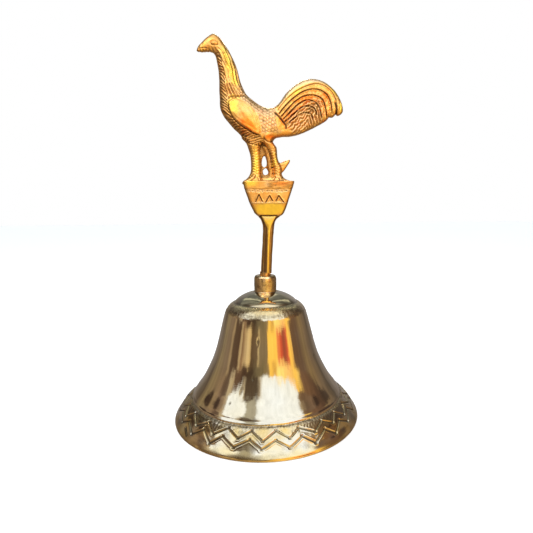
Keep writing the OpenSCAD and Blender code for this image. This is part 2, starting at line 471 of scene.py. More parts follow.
def turned_brass(name, lo, hi, rough_lo, rough_hi, rings=90.0, dull=0.35):
    m, nt, bs = nodes_of(name)
    co = obj_coords(nt)
    big = noise(nt, 420, 4, 0.6, co)
    fine = noise(nt, 2400, 4, 0.6, co)
    lines = noise(nt, rings, 2, 0.5, co, (0.25, 0.25, 40.0))
    base = ramp(nt, big, [(0.3, lo), (0.7, hi)])
    tarnish = ramp(nt, noise(nt, 650, 4, 0.65, co), [(0.5, gray(0)), (0.72, gray(dull))])
    col = mix(nt, tarnish, base, (0.22, 0.13, 0.055))
    link(nt, col, bs.inputs["Base Color"])
    bs.inputs["Metallic"].default_value = 1.0
    link(nt, ramp(nt, fine, [(0.3, gray(rough_lo)), (0.7, gray(rough_hi))]), bs.inputs["Roughness"])
    h = mathn(nt, "ADD", mathn(nt, "MULTIPLY", lines, 0.8), mathn(nt, "MULTIPLY", fine, 0.3))
    bump(nt, bs, h, 0.25, 0.00008)
    return m


def steel(name, tone, rough_lo, rough_hi, stain):
    m, nt, bs = nodes_of(name)
    co = obj_coords(nt)
    big = noise(nt, 500, 4, 0.6, co)
    fine = noise(nt, 2600, 4, 0.6, co)
    base = ramp(nt, big, [(0.3, tuple(0.82 * t for t in tone)), (0.7, tone)])
    rust = ramp(nt, noise(nt, 800, 5, 0.7, co), [(0.58, gray(0)), (0.74, gray(stain))])
    link(nt, mix(nt, rust, base, (0.20, 0.11, 0.05)), bs.inputs["Base Color"])
    bs.inputs["Metallic"].default_value = 1.0
    r = ramp(nt, fine, [(0.3, gray(rough_lo)), (0.7, gray(rough_hi))])
    link(nt, mix(nt, rust, r, gray(0.7)), bs.inputs["Roughness"])
    bump(nt, bs, fine, 0.2, 0.00006)
    return m


CAST = cast_brass()
BELL = bell_brass()
COLLAR = turned_brass("collar_brass", (0.52, 0.36, 0.17), (0.78, 0.54, 0.27), 0.13, 0.26, 90.0, 0.75)
WASHER = turned_brass("washer_brass", (0.60, 0.45, 0.22), (0.72, 0.56, 0.30), 0.25, 0.38)
ROD = turned_brass("rod_brass", (0.62, 0.44, 0.20), (0.76, 0.57, 0.28), 0.22, 0.36, 140.0)
BALL = turned_brass("ball_brass", (0.70, 0.49, 0.21), (0.84, 0.62, 0.30), 0.12, 0.24, 120.0, 0.25)
NUT = steel("zinc_nut", (0.62, 0.62, 0.60), 0.28, 0.42, 0.5)
WIRE = steel("steel_wire", (0.50, 0.50, 0.49), 0.30, 0.45, 0.8)

# ---------------------------------------------------------------- handle casting
BODY = curve([
    (-24.6, 144.7), (-24.3, 144.15), (-22.4, 143.95), (-20.8, 144.15), (-19.4, 144.1),
    (-18.3, 143.6), (-17.5, 142.3), (-17.1, 140.2), (-16.7, 138.0), (-16.5, 135.9),
    (-16.45, 133.7), (-16.5, 131.5), (-16.5, 129.3), (-16.4, 127.1), (-16.45, 124.8),
    (-16.1, 122.6), (-15.0, 120.4), (-13.3, 118.2), (-11.3, 115.9), (-9.0, 113.7),
    (-7.2, 111.6), (-5.2, 110.4), (-2.8, 109.7), (-0.4, 109.4), (1.8, 110.2),
    (3.6, 111.2), (5.0, 112.6), (7.6, 114.0), (8.6, 116.6), (7.4, 118.8), (6.2, 120.6),
    (5.2, 122.6), (3.4, 123.3), (1.3, 123.8), (-1.4, 124.9), (-4.1, 126.8),
    (-6.2, 128.7), (-7.6, 131.4), (-8.5, 133.7), (-9.0, 135.9), (-9.6, 138.1),
    (-10.4, 140.3), (-11.4, 142.4), (-12.6, 144.6), (-14.0, 146.7), (-15.4, 148.7),
    (-16.8, 149.9), (-18.1, 150.5), (-19.5, 149.9), (-21.3, 148.6), (-22.7, 147.3),
    (-23.8, 146.2)], 3, True)
TAIL = curve([
    (2.2, 123.0), (4.6, 124.0), (6.7, 125.9), (8.7, 128.7), (10.6, 130.6), (12.6, 132.3),
    (14.5, 133.4), (16.5, 134.2), (19.2, 134.6), (21.6, 134.3), (23.9, 133.5),
    (26.3, 132.0), (28.2, 130.2), (29.8, 128.0), (31.0, 125.2), (31.4, 123.3),
    (31.2, 122.2), (30.5, 121.4), (29.5, 120.9), (28.9, 121.05), (28.5, 121.45),
    (28.1, 120.9), (27.4, 120.35), (26.6, 120.2), (25.9, 120.35), (25.4, 119.7),
    (24.5, 118.8), (22.4, 117.6), (19.2, 116.0), (16.4, 114.7), (13.7, 113.7),
    (10.5, 113.0), (7.4, 112.9), (5.0, 112.9), (3.0, 114.0), (2.0, 118.0)], 3, True)
FRONT_LEG = curve([
    (-8.2, 113.0), (-6.6, 110.4), (-5.6, 107.6), (-5.05, 105.0), (-4.9, 102.5),
    (-4.95, 100.5), (-5.3, 98.9), (-6.0, 97.6), (-7.0, 96.6), (-8.0, 96.0), (-8.0, 94.6),
    (0.4, 94.6), (0.2, 96.0), (-0.6, 97.1), (-0.9, 99.0), (-0.9, 101.5), (-1.0, 104.0),
    (-1.1, 106.5), (-1.2, 108.3), (-0.2, 110.2), (0.0, 113.0)], 3, True)
REAR_LEG = curve([
    (0.0, 113.0), (4.6, 113.0), (4.1, 112.0), (3.8, 111.0), (4.4, 110.0), (5.2, 108.9),
    (5.4, 107.2), (5.5, 105.3), (5.9, 103.8), (6.5, 102.6), (7.2, 101.2), (7.4, 99.8),
    (7.2, 98.7), (7.6, 97.7), (8.4, 96.8), (10.2, 96.1), (11.3, 95.8), (11.3, 94.6),
    (2.8, 94.6), (3.1, 96.2), (3.7, 97.6), (3.9, 98.9), (3.7, 100.5), (3.4, 102.2),
    (2.9, 104.6), (2.2, 106.7), (1.0, 108.7), (0.0, 110.3)], 3, True)
SPUR = curve([
    (5.6, 103.0), (6.6, 102.9), (8.1, 103.55), (9.6, 104.05), (10.3, 104.15),
    (10.45, 103.6), (10.0, 102.6), (8.9, 101.0), (7.5, 99.3), (6.0, 99.4)], 3, True)
WEB = np.array([(-2.0, 110.5), (1.6, 110.2), (2.8, 106.7), (3.3, 104.6), (3.9, 101.8),
                (4.2, 98.9), (4.0, 94.8), (-1.6, 94.8), (-1.6, 108.0)])
HOLE_UP = curve([(-0.62, 103.3), (-0.35, 104.7), (0.35, 105.6), (1.0, 104.7), (1.35, 102.8),
                 (0.95, 101.6), (0.1, 101.25), (-0.5, 101.9)], 3, True)
HOLE_LOW = curve([(-0.3, 99.9), (0.25, 100.65), (1.0, 100.85), (1.75, 99.9), (1.8, 98.9),
                  (0.95, 98.35), (0.0, 98.5)], 3, True)
FAR_LEG = curve([(0.2, 109.4), (1.3, 107.4), (2.0, 104.6), (2.4, 101.5), (2.75, 98.6), (2.3, 95.6)], 4)
WING = curve([
    (-12.9, 125.2), (-11.6, 126.3), (-10.3, 126.6), (-8.6, 126.0), (-6.3, 124.8),
    (-3.9, 122.8), (-2.3, 120.5), (-1.4, 117.6), (-0.9, 115.2), (-1.3, 113.3),
    (-3.4, 113.7), (-6.1, 115.2), (-8.9, 116.9), (-11.2, 119.0), (-12.5, 121.5),
    (-13.0, 123.5)], 3, True)
THIGH = curve([(0.2, 112.7), (1.6, 113.8), (3.8, 113.9), (5.2, 112.9), (4.4, 111.4),
               (2.4, 110.8), (0.8, 111.4)], 3, True)
SADDLE = curve([(4.9, 119.3), (6.1, 119.7), (8.7, 116.8), (7.6, 115.5), (6.3, 115.3),
                (5.5, 116.6)], 3, True)


def thickness(x, z):
    """Half thickness of the figure's middle, front to back, by place."""
    anchors = [(-24.4, 144.6, 0.9), (-21.5, 146.3, 1.9), (-17.5, 147.0, 2.7),
               (-14.0, 142.5, 2.8), (-12.8, 136.0, 2.75), (-12.3, 130.0, 3.2),
               (-12.0, 123.5, 3.9), (-7.0, 119.5, 4.4), (-1.0, 117.0, 4.2),
               (4.0, 116.5, 3.5), (8.0, 117.0, 2.8), (1.0, 122.5, 3.3), (-2, 110.5, 3.2)]
    num = den = 0
    for ax, az, t in anchors:
        w = np.exp(-((x - ax) ** 2 + (z - az) ** 2) / (2 * 3.4 ** 2)) + 1e-7
        num, den = num + w * t, den + w
    return num / den


def pillow(d, y, w, t):
    """Field of an outline inflated to half thickness t, round over its outer w."""
    u = np.maximum((w - d) / w, 0)
    r = np.sqrt(u[:, None, :] ** 2 + (y[None, :, None] / t[:, None, :]) ** 2)
    return (r - 1) * np.minimum(w, t)[:, None, :]


def build_handle():
    h = 0.2
    org = np.array([-26.0, -6.4, 38.6])
    top = np.array([33.2, 6.4, 152.2])
    n = np.ceil((top - org) / h).astype(int) + 1
    xs, ys, zs = (org[i] + h * np.arange(n[i]) for i in range(3))
    F = np.full(tuple(n), 9.0, np.float32)

    def window(x0, x1, z0, z1):
        i0, i1 = np.searchsorted(xs, [x0, x1])
        k0, k1 = np.searchsorted(zs, [z0, z1])
        return slice(i0, i1), slice(k0, k1)

    def put(win, G, k):
        sub = F[win[0], :, win[1]]
        F[win[0], :, win[1]] = smin(sub, G.astype(np.float32), k)

    def plane(win):
        return np.meshgrid(xs[win[0]], zs[win[1]], indexing="ij")

    # rooster's head, neck and body
    w = window(-26.5, 11, 107, 152)
    X, Z = plane(w)
    d = depth_in(X, Z, BODY)
    t = thickness(X, Z)
    soft = step(X + 8.5 + 0.6 * (Z - 120), 0.0, 5.0)
    wdep = depth_in(X, Z, WING)
    t = t + 0.55 * ((1 - soft) * step(wdep, -0.15, 0.9) + soft * step(wdep, -0.6, 4.0))
    t = t + 0.35 * step(depth_in(X, Z, THIGH), -0.2, 0.8)
    wd = 3.0 + 1.3 * step(-Z, -128, -120) - 1.2 * step(-X, 17.5, 21)
    put(w, pillow(d, ys, wd, t), 0.3)
    # tail
    w = window(0.5, 33, 110, 136.5)
    X, Z = plane(w)
    d = depth_in(X, Z, TAIL)
    t = 2.55 - 0.9 * step(X, 10, 31)
    put(w, pillow(d, ys, np.full(d.shape, 1.7), t), 0.9)
    # legs, spur, the web of flash between the legs, and the far leg's rib
    w = window(-10.5, 14, 93, 115)
    X, Z = plane(w)
    fld = pillow(depth_in(X, Z, FRONT_LEG), ys, np.full(X.shape, 1.9), 2.1 + 1.0 * step(Z, 106, 112) + 0.7 * step(-Z, -98.5, -96))
    put(w, fld, 0.5)
    fld = pillow(depth_in(X, Z, REAR_LEG), ys, np.full(X.shape, 1.7), 2.0 + 1.0 * step(Z, 107, 112) + 0.8 * step(-Z, -98.5, -96))
    put(w, fld, 0.5)
    put(w, pillow(depth_in(X, Z, SPUR), ys, np.full(X.shape, 0.9), np.full(X.shape, 0.95)), 0.4)
    web = np.minimum(depth_in(X, Z, WEB), -np.maximum(depth_in(X, Z, HOLE_UP), depth_in(X, Z, HOLE_LOW)))
    thin = 0.75 + 0.9 * step(-Z, -98.2, -96.2) - 0.35 * np.exp(-((Z - 101.0) / 0.35) ** 2)
    put(w, pillow(web, ys, np.full(X.shape, 0.6), thin), 0.35)
    far, _, _ = near(X, Z, FAR_LEG)
    far = np.minimum(0.95 - far, -np.maximum(depth_in(X, Z, HOLE_UP), depth_in(X, Z, HOLE_LOW)))
    put(w, pillow(far, ys, np.full(X.shape, 0.8), np.full(X.shape, 1.35)), 0.3)
    # pedestal
    w = window(-11, 15, 80.8, 97.5)
    X, Z = plane(w)
    zk = [82.0, 82.4, 83.4, 85.7, 88.1, 90.5, 92.9, 95.8]
    cx = np.interp(Z, zk, [2.1, 2.1, 2.0, 1.9, 1.8, 1.8, 1.8, 1.95])
    hx = np.interp(Z, zk, [4.6, 5.0, 5.9, 6.95, 7.8, 8.6, 9.45, 10.1])
    hy = np.interp(Z, [82.0, 82.6, 86.7, 86.9, 92.3, 92.6, 95.8], [2.35, 2.5, 3.7, 3.95, 4.3, 4.5, 4.65])
    rc = 1.5
    qx = np.abs(X - cx) - (hx - rc)
    qy = np.abs(ys)[None, :, None] - (hy - rc)[:, None, :]
    qx = np.broadcast_to(qx[:, None, :], qy.shape)
    side = np.sqrt(np.maximum(qx, 0) ** 2 + np.maximum(qy, 0) ** 2) + np.minimum(np.maximum(qx, qy), 0) - rc
    cap = np.broadcast_to((np.abs(Z - 89.1) - 6.65)[:, None, :], side.shape)
    put(w, smax(side, cap, 0.55), 0.45)
    # flare and stem: flat sides, a ridge down the front that opens into a wedge
    w = window(-6, 9, 58.6, 84)
    X, Z = plane(w)
    zk = [59.5, 61.6, 64.1, 66.5, 69.0, 71.4, 73.8, 76.2, 78.6, 80.0, 81.0, 82.4, 84.0]
    cx = np.interp(Z, zk, [0.5, 0.55, 0.7, 0.85, 1.0, 1.25, 1.35, 1.55, 1.65, 1.65, 1.7, 2.0, 2.1])
    hx = np.interp(Z, zk, [2.2, 2.2, 2.2, 2.15, 2.15, 2.15, 2.15, 2.2, 2.35, 2.75, 3.3, 4.8, 5.2])
    grow = 1 + 0.75 * step(Z, 77.0, 84.5)
    xr = (X - cx)[:, None, :] / (hx / 2.2)[:, None, :]
    yr = np.abs(ys)[None, :, None] / grow[:, None, :]
    fld = np.abs(xr) - 2.2
    for (ax, ay), (bx, by) in (((-2.2, 0.35), (-1.25, 1.6)), ((-1.25, 1.6), (0.42, 2.15)),
                               ((0.42, 2.15), (1.5, 1.55)), ((1.5, 1.55), (2.2, 0.35))):
        ln = math.hypot(bx - ax, by - ay)
        nx, ny = -(by - ay) / ln, (bx - ax) / ln
        fld = smax(fld, (xr - ax) * nx + (yr - ay) * ny, 0.18)
    flat = np.abs(ys)[None, :, None] - np.interp(Z, [58, 76.8, 82.5, 84], [2.3, 2.08, 2.25, 2.3])[:, None, :]
    fld = smax(fld, np.broadcast_to(flat, fld.shape), 0.1)
    fld = smax(fld, np.broadcast_to((58.95 - Z)[:, None, :], fld.shape), 0.35)
    put(w, fld, 0.35)
    # foot in the collar, shank, and the flats filed on its end
    w = window(-5, 5, 38.6, 60.5)
    X, Z = plane(w)
    rr = np.sqrt((X ** 2)[:, None, :] + (ys ** 2)[None, :, None])
    foot = smax(rr - 2.12, np.broadcast_to((np.abs(Z - 58.4) - 1.32)[:, None, :], rr.shape), 0.15)
    shank = smax(rr - 1.88, np.broadcast_to((np.abs(Z - 51.1) - 6.9)[:, None, :], rr.shape), 0.12)
    end = smax(rr - 1.88, np.broadcast_to((np.sqrt(X ** 2 + np.minimum(Z - 42.2, 0) ** 2) - 1.88)[:, None, :], rr.shape), 0.1)
    end = smax(end, np.broadcast_to((Z - 45.2)[:, None, :], rr.shape), 0.1)
    end = smax(end, np.abs(ys)[None, :, None] - 0.59 + 0 * rr, 0.12)
    hole = 1.22 - np.sqrt(X ** 2 + (Z - 42.2) ** 2)
    end = smax(end, np.broadcast_to(hole[:, None, :], rr.shape), 0.1)
    put(w, smin(foot, shank, 0.15), 0.12)
    put(w, end, 0.12)

    P, quads = surface_nets(F, org, h)
    P = relax(P, quads, F, org, h, 2)
    N = vertex_normals(P, quads)

    # ---- relief, worked into the surface along its normal
    x, y, z = P.T
    rel = np.zeros(len(P))
    tone = np.zeros(len(P))     # darkness painted into grooves, hollows and shaded sides: painted shade
    face = step(np.abs(N[:, 1]), 0.12, 0.45)

    def groove(points, width, depth, n=4, lip=0.25, fade=True):
        nonlocal rel, tone
        c = curve(points, n) if n else np.asarray(points, float)
        m = ((x > c[:, 0].min() - 2) & (x < c[:, 0].max() + 2)
             & (z > c[:, 1].min() - 2) & (z < c[:, 1].max() + 2))
        i = np.flatnonzero(m)
        dd, arc, _ = near(x[i], z[i], c)
        ln = np.sqrt((np.diff(c, axis=0) ** 2).sum(1)).sum()
        taper = np.minimum(1, np.minimum(arc, ln - arc) / 0.5 + 0.35)
        g = np.exp(-(dd / width) ** 2) * taper
        lipv = np.exp(-((dd - 2.1 * width) / width) ** 2) * taper
        wgt = face[i] if fade else 1
        rel[i] += wgt * (-depth * g + lip * depth * lipv)
        # the groove is darkened in colour as well: painted shade
        tone[i] = np.maximum(tone[i], wgt * g * min(1.0, depth * 2.6))

    body_d = depth_in(x, z, BODY)
    tail_d = depth_in(x, z, TAIL)
    on_fig = (z > 109) & (body_d > -0.6)

    # worked band down the front of neck and breast, below the smooth neck side and wing; its strokes and the whole
    # front of neck and breast are darkened in colour: painted shade on the side away from the light
    band = curve([(-17.2, 144.4), (-16.3, 143.0), (-15.5, 141.1), (-14.9, 138.6),
                  (-14.4, 136.1), (-14.1, 133.5), (-14.0, 131.0), (-13.8, 128.6),
                  (-13.3, 126.2), (-13.1, 123.6), (-12.6, 121.4), (-11.3, 118.9),
                  (-8.9, 116.7), (-6.1, 115.0), (-3.4, 113.5), (-1.4, 112.7),
                  (0.2, 111.6), (0.6, 110.4)], 4)
    bd, arc, side = near(x, z, band)
    front = on_fig & (side < 0) & (x < 1.0) & (z < 144.2)
    sd = np.where(side < 0, bd, -bd)
    in_band = np.where(on_fig & (x < 1.2) & (z < 144.2), step(sd, -0.18, 0.22), 0) * step(-z, -144.2, -142.2)
    rel -= 0.30 * in_band * face
    wv = waves(x, y, z, 3.2, 91)
    stroke = np.sin(2 * np.pi * (arc + 1.1 * sd + 0.35 * np.sin(arc * 0.9) + 0.28 * wv) / 1.3)
    rel += in_band * face * (0.15 + 0.05 * wv) * stroke
    tone = np.maximum(tone, in_band * np.clip(0.46 - 0.42 * stroke, 0, 1))
    tone = np.maximum(tone, np.where(front, 0.25, 0))

    # lengthwise feathers on the neck
    back = np.array([(-13.0, 146.9), (-11.5, 144.6), (-10.3, 142.4), (-9.3, 140.3), (-8.6, 138.1),
                     (-8.0, 135.9), (-7.5, 133.7), (-6.8, 131.4), (-5.6, 128.9)])
    ed, earc, _ = near(x, z, back)
    zone = np.where(on_fig & (x < -5.5), 1, 0) * step(z, 126.8, 128.6) * step(-z, -146.0, -143.8) * (1 - in_band)
    ph = 2 * np.pi * (ed + 0.16 * np.sin(earc * 0.8) + 0.10 * waves(x, y, z, 3.0, 45)) / 1.12
    rel += zone * face * 0.10 * np.cos(ph)
    # the troughs between the feathers are darkened in colour: painted shade
    tone = np.maximum(tone, zone * face * 0.20 * np.clip(-np.cos(ph), 0, 1) ** 2)
    for pts, wd_, dp in (
            ([(-15.1, 144.1), (-14.1, 141.6), (-13.2, 138.5), (-12.7, 136.0), (-12.5, 133.6)], 0.2, 0.17),
            ([(-13.5, 144.1), (-12.1, 141.1), (-11.2, 138.0), (-10.9, 135.5), (-10.7, 133.5), (-10.1, 131.4), (-8.9, 129.3)], 0.24, 0.24),
            ([(-12.1, 143.3), (-10.6, 140.2), (-9.8, 136.6), (-9.4, 134.1), (-8.9, 131.6), (-8.3, 130.3)], 0.2, 0.16),
            ([(-14.4, 135.5), (-13.2, 132.2), (-12.3, 130.4)], 0.2, 0.15),
            # the hackle's tips
            ([(-14.2, 131.6), (-13.7, 128.9), (-12.8, 126.2)], 0.2, 0.24),
            ([(-13.5, 132.0), (-12.6, 129.3), (-11.5, 127.0)], 0.2, 0.22),
            ([(-12.7, 132.2), (-11.4, 129.4), (-10.3, 127.3)], 0.2, 0.24),
            ([(-11.9, 132.6), (-10.5, 129.6), (-9.3, 127.2)], 0.2, 0.22),
            ([(-10.5, 131.0), (-9.3, 129.2), (-8.0, 127.5)], 0.19, 0.2),
            ([(-8.9, 130.1), (-8.2, 129.0), (-7.0, 127.7)], 0.19, 0.2),
            ([(-12.9, 126.0), (-12.1, 127.1), (-11.4, 126.8), (-10.7, 127.3), (-10.1, 126.8),
              (-9.4, 127.3), (-8.8, 126.9), (-8.0, 127.5), (-7.3, 127.3), (-6.4, 127.9)], 0.22, 0.26)):
        groove(pts, wd_, dp)

    # eye, nostril and mouth
    ex, ez = (x + 17.65) / 1.5, (z - 146.5) / 0.85
    er = np.sqrt((ex * 0.94 + ez * 0.34) ** 2 + (ez * 0.94 - ex * 0.34) ** 2)
    rel += face * (0.17 * np.exp(-(er / 0.6) ** 2) - 0.2 * np.exp(-((er - 1.0) / 0.2) ** 2))
    # the ring round the eye and the pupil are darkened in colour: painted shade in their hollows
    tone = np.maximum(tone, face * 0.42 * np.exp(-((er - 1.02) / 0.2) ** 2))
    pupil = np.hypot(x + 16.55, z - 145.95)
    rel -= face * 0.22 * np.exp(-(pupil / 0.28) ** 2)
    tone = np.maximum(tone, face * np.exp(-(pupil / 0.34) ** 2))
    groove([(-24.4, 144.75), (-23.0, 144.85), (-21.4, 144.95), (-20.2, 144.75)], 0.17, 0.2)
    groove([(-22.6, 146.0), (-21.9, 146.35)], 0.17, 0.17, 2)

    # wing: smooth, lower edge standing proud, a few long faint facets
    wing_d = depth_in(x, z, WING)
    rel += face * 0.12 * np.exp(-((wing_d - 0.55) / 0.35) ** 2) * step(-x - z, -121.5, -114.5)
    for pts in ([(-10.2, 126.0), (-9.6, 123.6), (-7.9, 120.6), (-7.0, 118.8)],
                [(-8.4, 125.6), (-6.6, 122.9), (-5.2, 120.1), (-4.6, 117.8)],
                [(-6.2, 124.4), (-4.4, 121.8), (-3.1, 119.2), (-2.3, 116.6)],
                [(-12.0, 121.2), (-9.6, 118.9), (-6.8, 117.2), (-3.9, 115.7)]):
        groove(pts, 0.34, 0.04)
    groove([(-12.7, 125.6), (-13.0, 123.4), (-12.4, 121.3), (-11.1, 118.8), (-8.8, 116.6),
            (-6.0, 114.9), (-3.3, 113.4), (-1.2, 112.9)], 0.24, 0.30)

    # rows of small scales between wing and tail, and up over the back
    jx, jz = 0.20 * waves(x, y, z, 3.4, 51), 0.20 * waves(x, y, z, 3.4, 52)
    u = ((x + jx) * 0.80 - (z + jz) * 0.60) / 1.36
    v = ((x + jx) * 0.60 + (z + jz) * 0.80) / 1.12
    row = np.floor(v)
    uu = u + 0.5 * (row % 2) - np.floor(u + 0.5 * (row % 2)) - 0.5
    vv = v - row
    arcs = np.abs(np.sqrt(uu ** 2 + (vv - 0.05) ** 2 * 0.7) - 0.5)
    back_zone = np.where(on_fig & (x > -8.5), 1, 0) * step(-wing_d, 0.05, 0.4) * step(z, 113.0, 114.2)
    back_zone = back_zone * step(-depth_in(x, z, SADDLE), 0, 0.35) * step(-depth_in(x, z, THIGH), 0, 0.3)
    back_zone = back_zone * step(body_d, 0.0, 0.5) * (1 - in_band) * step(-x, -8.2, -6.4)
    sc = np.exp(-(arcs / 0.15) ** 2)
    rel += face * back_zone * (0.04 - 0.14 * sc * (0.7 + 0.45 * waves(x, y, z, 2.5, 53)))
    # the back is darkened in colour, most in the scale cuts: painted shade in the cuts
    tone = np.maximum(tone, face * back_zone * (0.30 + 0.30 * sc))
    groove([(0.0, 112.2), (1.2, 110.9), (2.6, 110.5), (4.0, 111.1)], 0.26, 0.28)
    groove([(5.4, 115.2), (5.5, 117.0), (4.9, 119.2)], 0.2, 0.08)

    # tail: long curved feathers from the root, finer strands below
    root = [(4.4, 121.6), (6.0, 120.2), (7.4, 118.5), (8.7, 116.8), (8.9, 115.4)]
    T_out = [(5.8, 122.4), (7.6, 124.9), (9.8, 127.1), (12.5, 129.2), (15.3, 130.8), (18.1, 131.9),
             (20.9, 132.4), (23.9, 131.7), (26.4, 129.9), (27.7, 127.9), (28.6, 125.6), (28.9, 122.6)]
    T1 = [(6.2, 121.0), (8.2, 123.5), (10.7, 126.0), (13.1, 127.9), (15.6, 129.4), (18.0, 130.2),
          (20.3, 130.4), (22.6, 129.9), (24.6, 128.6), (25.8, 126.8), (26.5, 124.6), (26.9, 121.4)]
    T2 = [(6.9, 119.9), (9.2, 122.4), (11.7, 125.0), (14.2, 126.9), (16.6, 127.9), (19.2, 128.2),
          (21.6, 127.6), (23.1, 126.5), (23.9, 124.8), (24.4, 122.9), (24.7, 121.2), (25.0, 120.0)]
    T3 = [(7.6, 118.9), (10.2, 121.4), (12.7, 123.9), (14.9, 125.5), (17.0, 126.3), (19.0, 126.1),
          (20.8, 125.2), (21.9, 123.6), (22.4, 121.6), (22.7, 119.4)]
    T4 = [(8.3, 117.9), (10.9, 120.3), (13.1, 122.1), (15.2, 123.6), (17.3, 124.2), (19.0, 123.8),
          (20.3, 122.5), (20.9, 120.6)]
    T5 = [(9.0, 116.9), (11.3, 118.9), (13.4, 120.5), (15.6, 121.6), (17.4, 121.7), (18.7, 120.9),
          (19.5, 119.4)]
    groove(root, 0.24, 0.36)
    for pts, dp in ((T_out, 0.24), (T1, 0.5), (T2, 0.55), (T3, 0.48), (T4, 0.45), (T5, 0.4)):
        groove(pts, 0.19, 0.80 * dp, lip=0.42)
        td, _, _ = near(x, z, curve(pts, 4))
        # the feather lines are darkened in colour: painted shade in the grooves
        tone = np.maximum(tone, face * 1.05 * np.exp(-(td / 0.2) ** 2) * step(td, -1, 0))
    groove([(28.0, 125.8), (28.5, 123.8), (28.6, 121.2)], 0.26, 0.5)
    groove([(29.9, 126.6), (30.2, 124.4), (29.6, 121.6)], 0.2, 0.16)
    in_tail = np.where(tail_d > -0.3, 1, 0) * np.where(x > 6.2, 1, 0)
    c1 = curve(T1, 4)
    d1, a1, s1 = near(x, z, c1)
    below = in_tail * step(-s1 * d1, -0.1, 0.25) * step(tail_d, 0.25, 0.9) * step(x + 0.9 * z, 113.2, 114.8)
    strand = np.sin(2 * np.pi * (d1 + 0.20 * np.sin(a1 * 1.3 + d1 * 1.2) + 0.12 * np.sin(a1 * 3.1) + 0.2 * waves(x, y, z, 2.6, 71)) / 1.14)
    low = step(d1, 2.0, 5.5)
    rel += below * face * (0.055 + 0.16 * low) * strand
    # the strands' troughs are darkened, and the lower tail a little overall: painted shade
    tone = np.maximum(tone, below * face * (0.24 + 0.46 * low) * np.clip(-strand, 0, 1))
    barb = np.sin(2 * np.pi * (a1 + 0.9 * d1) / 0.9)
    rel += below * face * 0.04 * barb * (1 - 0.8 * low)
    tone = np.maximum(tone, below * 0.16)
    # outer feathers keep faint barbs
    outer = in_tail * step(s1 * d1, -0.1, 0.3) * step(tail_d, 0.1, 0.5)
    rel += outer * face * 0.02 * np.sin(2 * np.pi * (a1 - 1.2 * d1) / 1.15)

    # legs: rows of scales, knee
    for c, wd_ in ((curve([(-4.2, 109.5), (-3.2, 105.5), (-2.9, 101.5), (-3.0, 98.2), (-3.6, 96.2)], 4), 2.4),
                   (curve([(2.9, 109.6), (4.1, 106.8), (4.6, 103.6), (5.5, 100.6), (5.4, 98.0), (6.2, 96.2)], 4), 2.2)):
        ld, la, ls = near(x, z, c)
        leg = np.where((z < 109.6) & (z > 96.2) & (ld < wd_), 1, 0) * step(-z, -109.4, -108.2) * step(z, 96.2, 97.2)
        ph = la / 1.02 + 0.5 * (ls > 0) + 0.22 * ld
        sc = np.abs(ph - np.floor(ph) - 0.5)
        cut = np.exp(-(sc / 0.13) ** 2)
        mid = np.exp(-(ld / 0.17) ** 2)
        rel += leg * face * (0.03 - 0.13 * cut - 0.07 * mid)
        # the scale cuts and the middle line are darkened in colour: painted shade
        tone = np.maximum(tone, leg * face * np.maximum(0.42 * cut, 0.25 * mid))
    web_z = np.where((x > -1.2) & (x < 3.2) & (z > 97) & (z < 109.5) & (np.abs(y) < 1.6), 1, 0)
    rel += web_z * face * 0.07 * np.sin(2 * np.pi * (x - 0.12 * (z - 100)) / 0.62)
    # the web between the legs is darkened in colour: painted shade between the legs
    tone = np.maximum(tone, web_z * 0.62)

    # toes over the pedestal's edge
    for pts in ([(-7.4, 96.5), (-5.4, 97.3), (-4.0, 98.4)], [(-5.2, 95.9), (-3.8, 96.8), (-3.1, 98.0)],
                [(-1.9, 96.0), (-2.3, 97.3)], [(3.6, 96.0), (4.6, 97.4)], [(9.4, 96.4), (7.6, 97.2), (6.4, 98.4)],
                [(6.3, 95.9), (5.9, 97.2)]):
        groove(pts, 0.22, 0.26, 3)

    # pedestal: rim line, dotted line, three cut chevrons, smooth foot
    ped = np.where((z < 96) & (z > 82) & (np.abs(y) > 1.2), 1, 0)
    pf = ped * step(np.abs(N[:, 1]), 0.5, 0.8)
    wob = 0.10 * np.sin(x * 0.9) + 0.06 * np.sin(x * 2.3 + 1)
    rel -= ped * 0.22 * np.exp(-((z - 92.55 - wob) / 0.17) ** 2)
    # the rim line, dots, chevron outlines and step line below are darkened in colour: painted shade in the cuts
    tone = np.maximum(tone, ped * 0.55 * np.exp(-((z - 92.5 - wob) / 0.22) ** 2))
    dots = 0.5 + 0.5 * np.sin(2 * np.pi * (x + 0.15 * np.sin(x * 3.1)) / 0.95)
    line = np.exp(-((z - 91.75 - wob) / 0.27) ** 2)
    dots = np.clip(dots + 0.35 * waves(x, y, z, 1.6, 33), 0, 1)
    rel -= pf * 0.22 * line * dots ** 1.5
    tone = np.maximum(tone, pf * 0.45 * line * dots ** 1.5)
    face = pf
    for pts in ([(-3.35, 87.6), (-1.95, 90.5), (-0.65, 87.7)], [(0.45, 87.25), (2.15, 90.1), (3.35, 87.9)],
                [(4.55, 87.8), (5.7, 90.05), (7.8, 87.3)]):
        c = np.array(pts)
        groove(pts, 0.18, 0.30, 0, 0.45)
        tri = np.where(inside(x, z, c), 1, 0) * pf
        cd, _, _ = near(x, z, c)
        tone = np.maximum(tone, pf * 1.3 * np.exp(-(cd / 0.17) ** 2))
        rel -= tri * 0.06
    rel -= pf * 0.16 * np.exp(-((z - 86.85 - 0.5 * wob) / 0.16) ** 2)
    tone = np.maximum(tone, pf * 0.35 * np.exp(-((z - 86.85 - 0.5 * wob) / 0.2) ** 2))
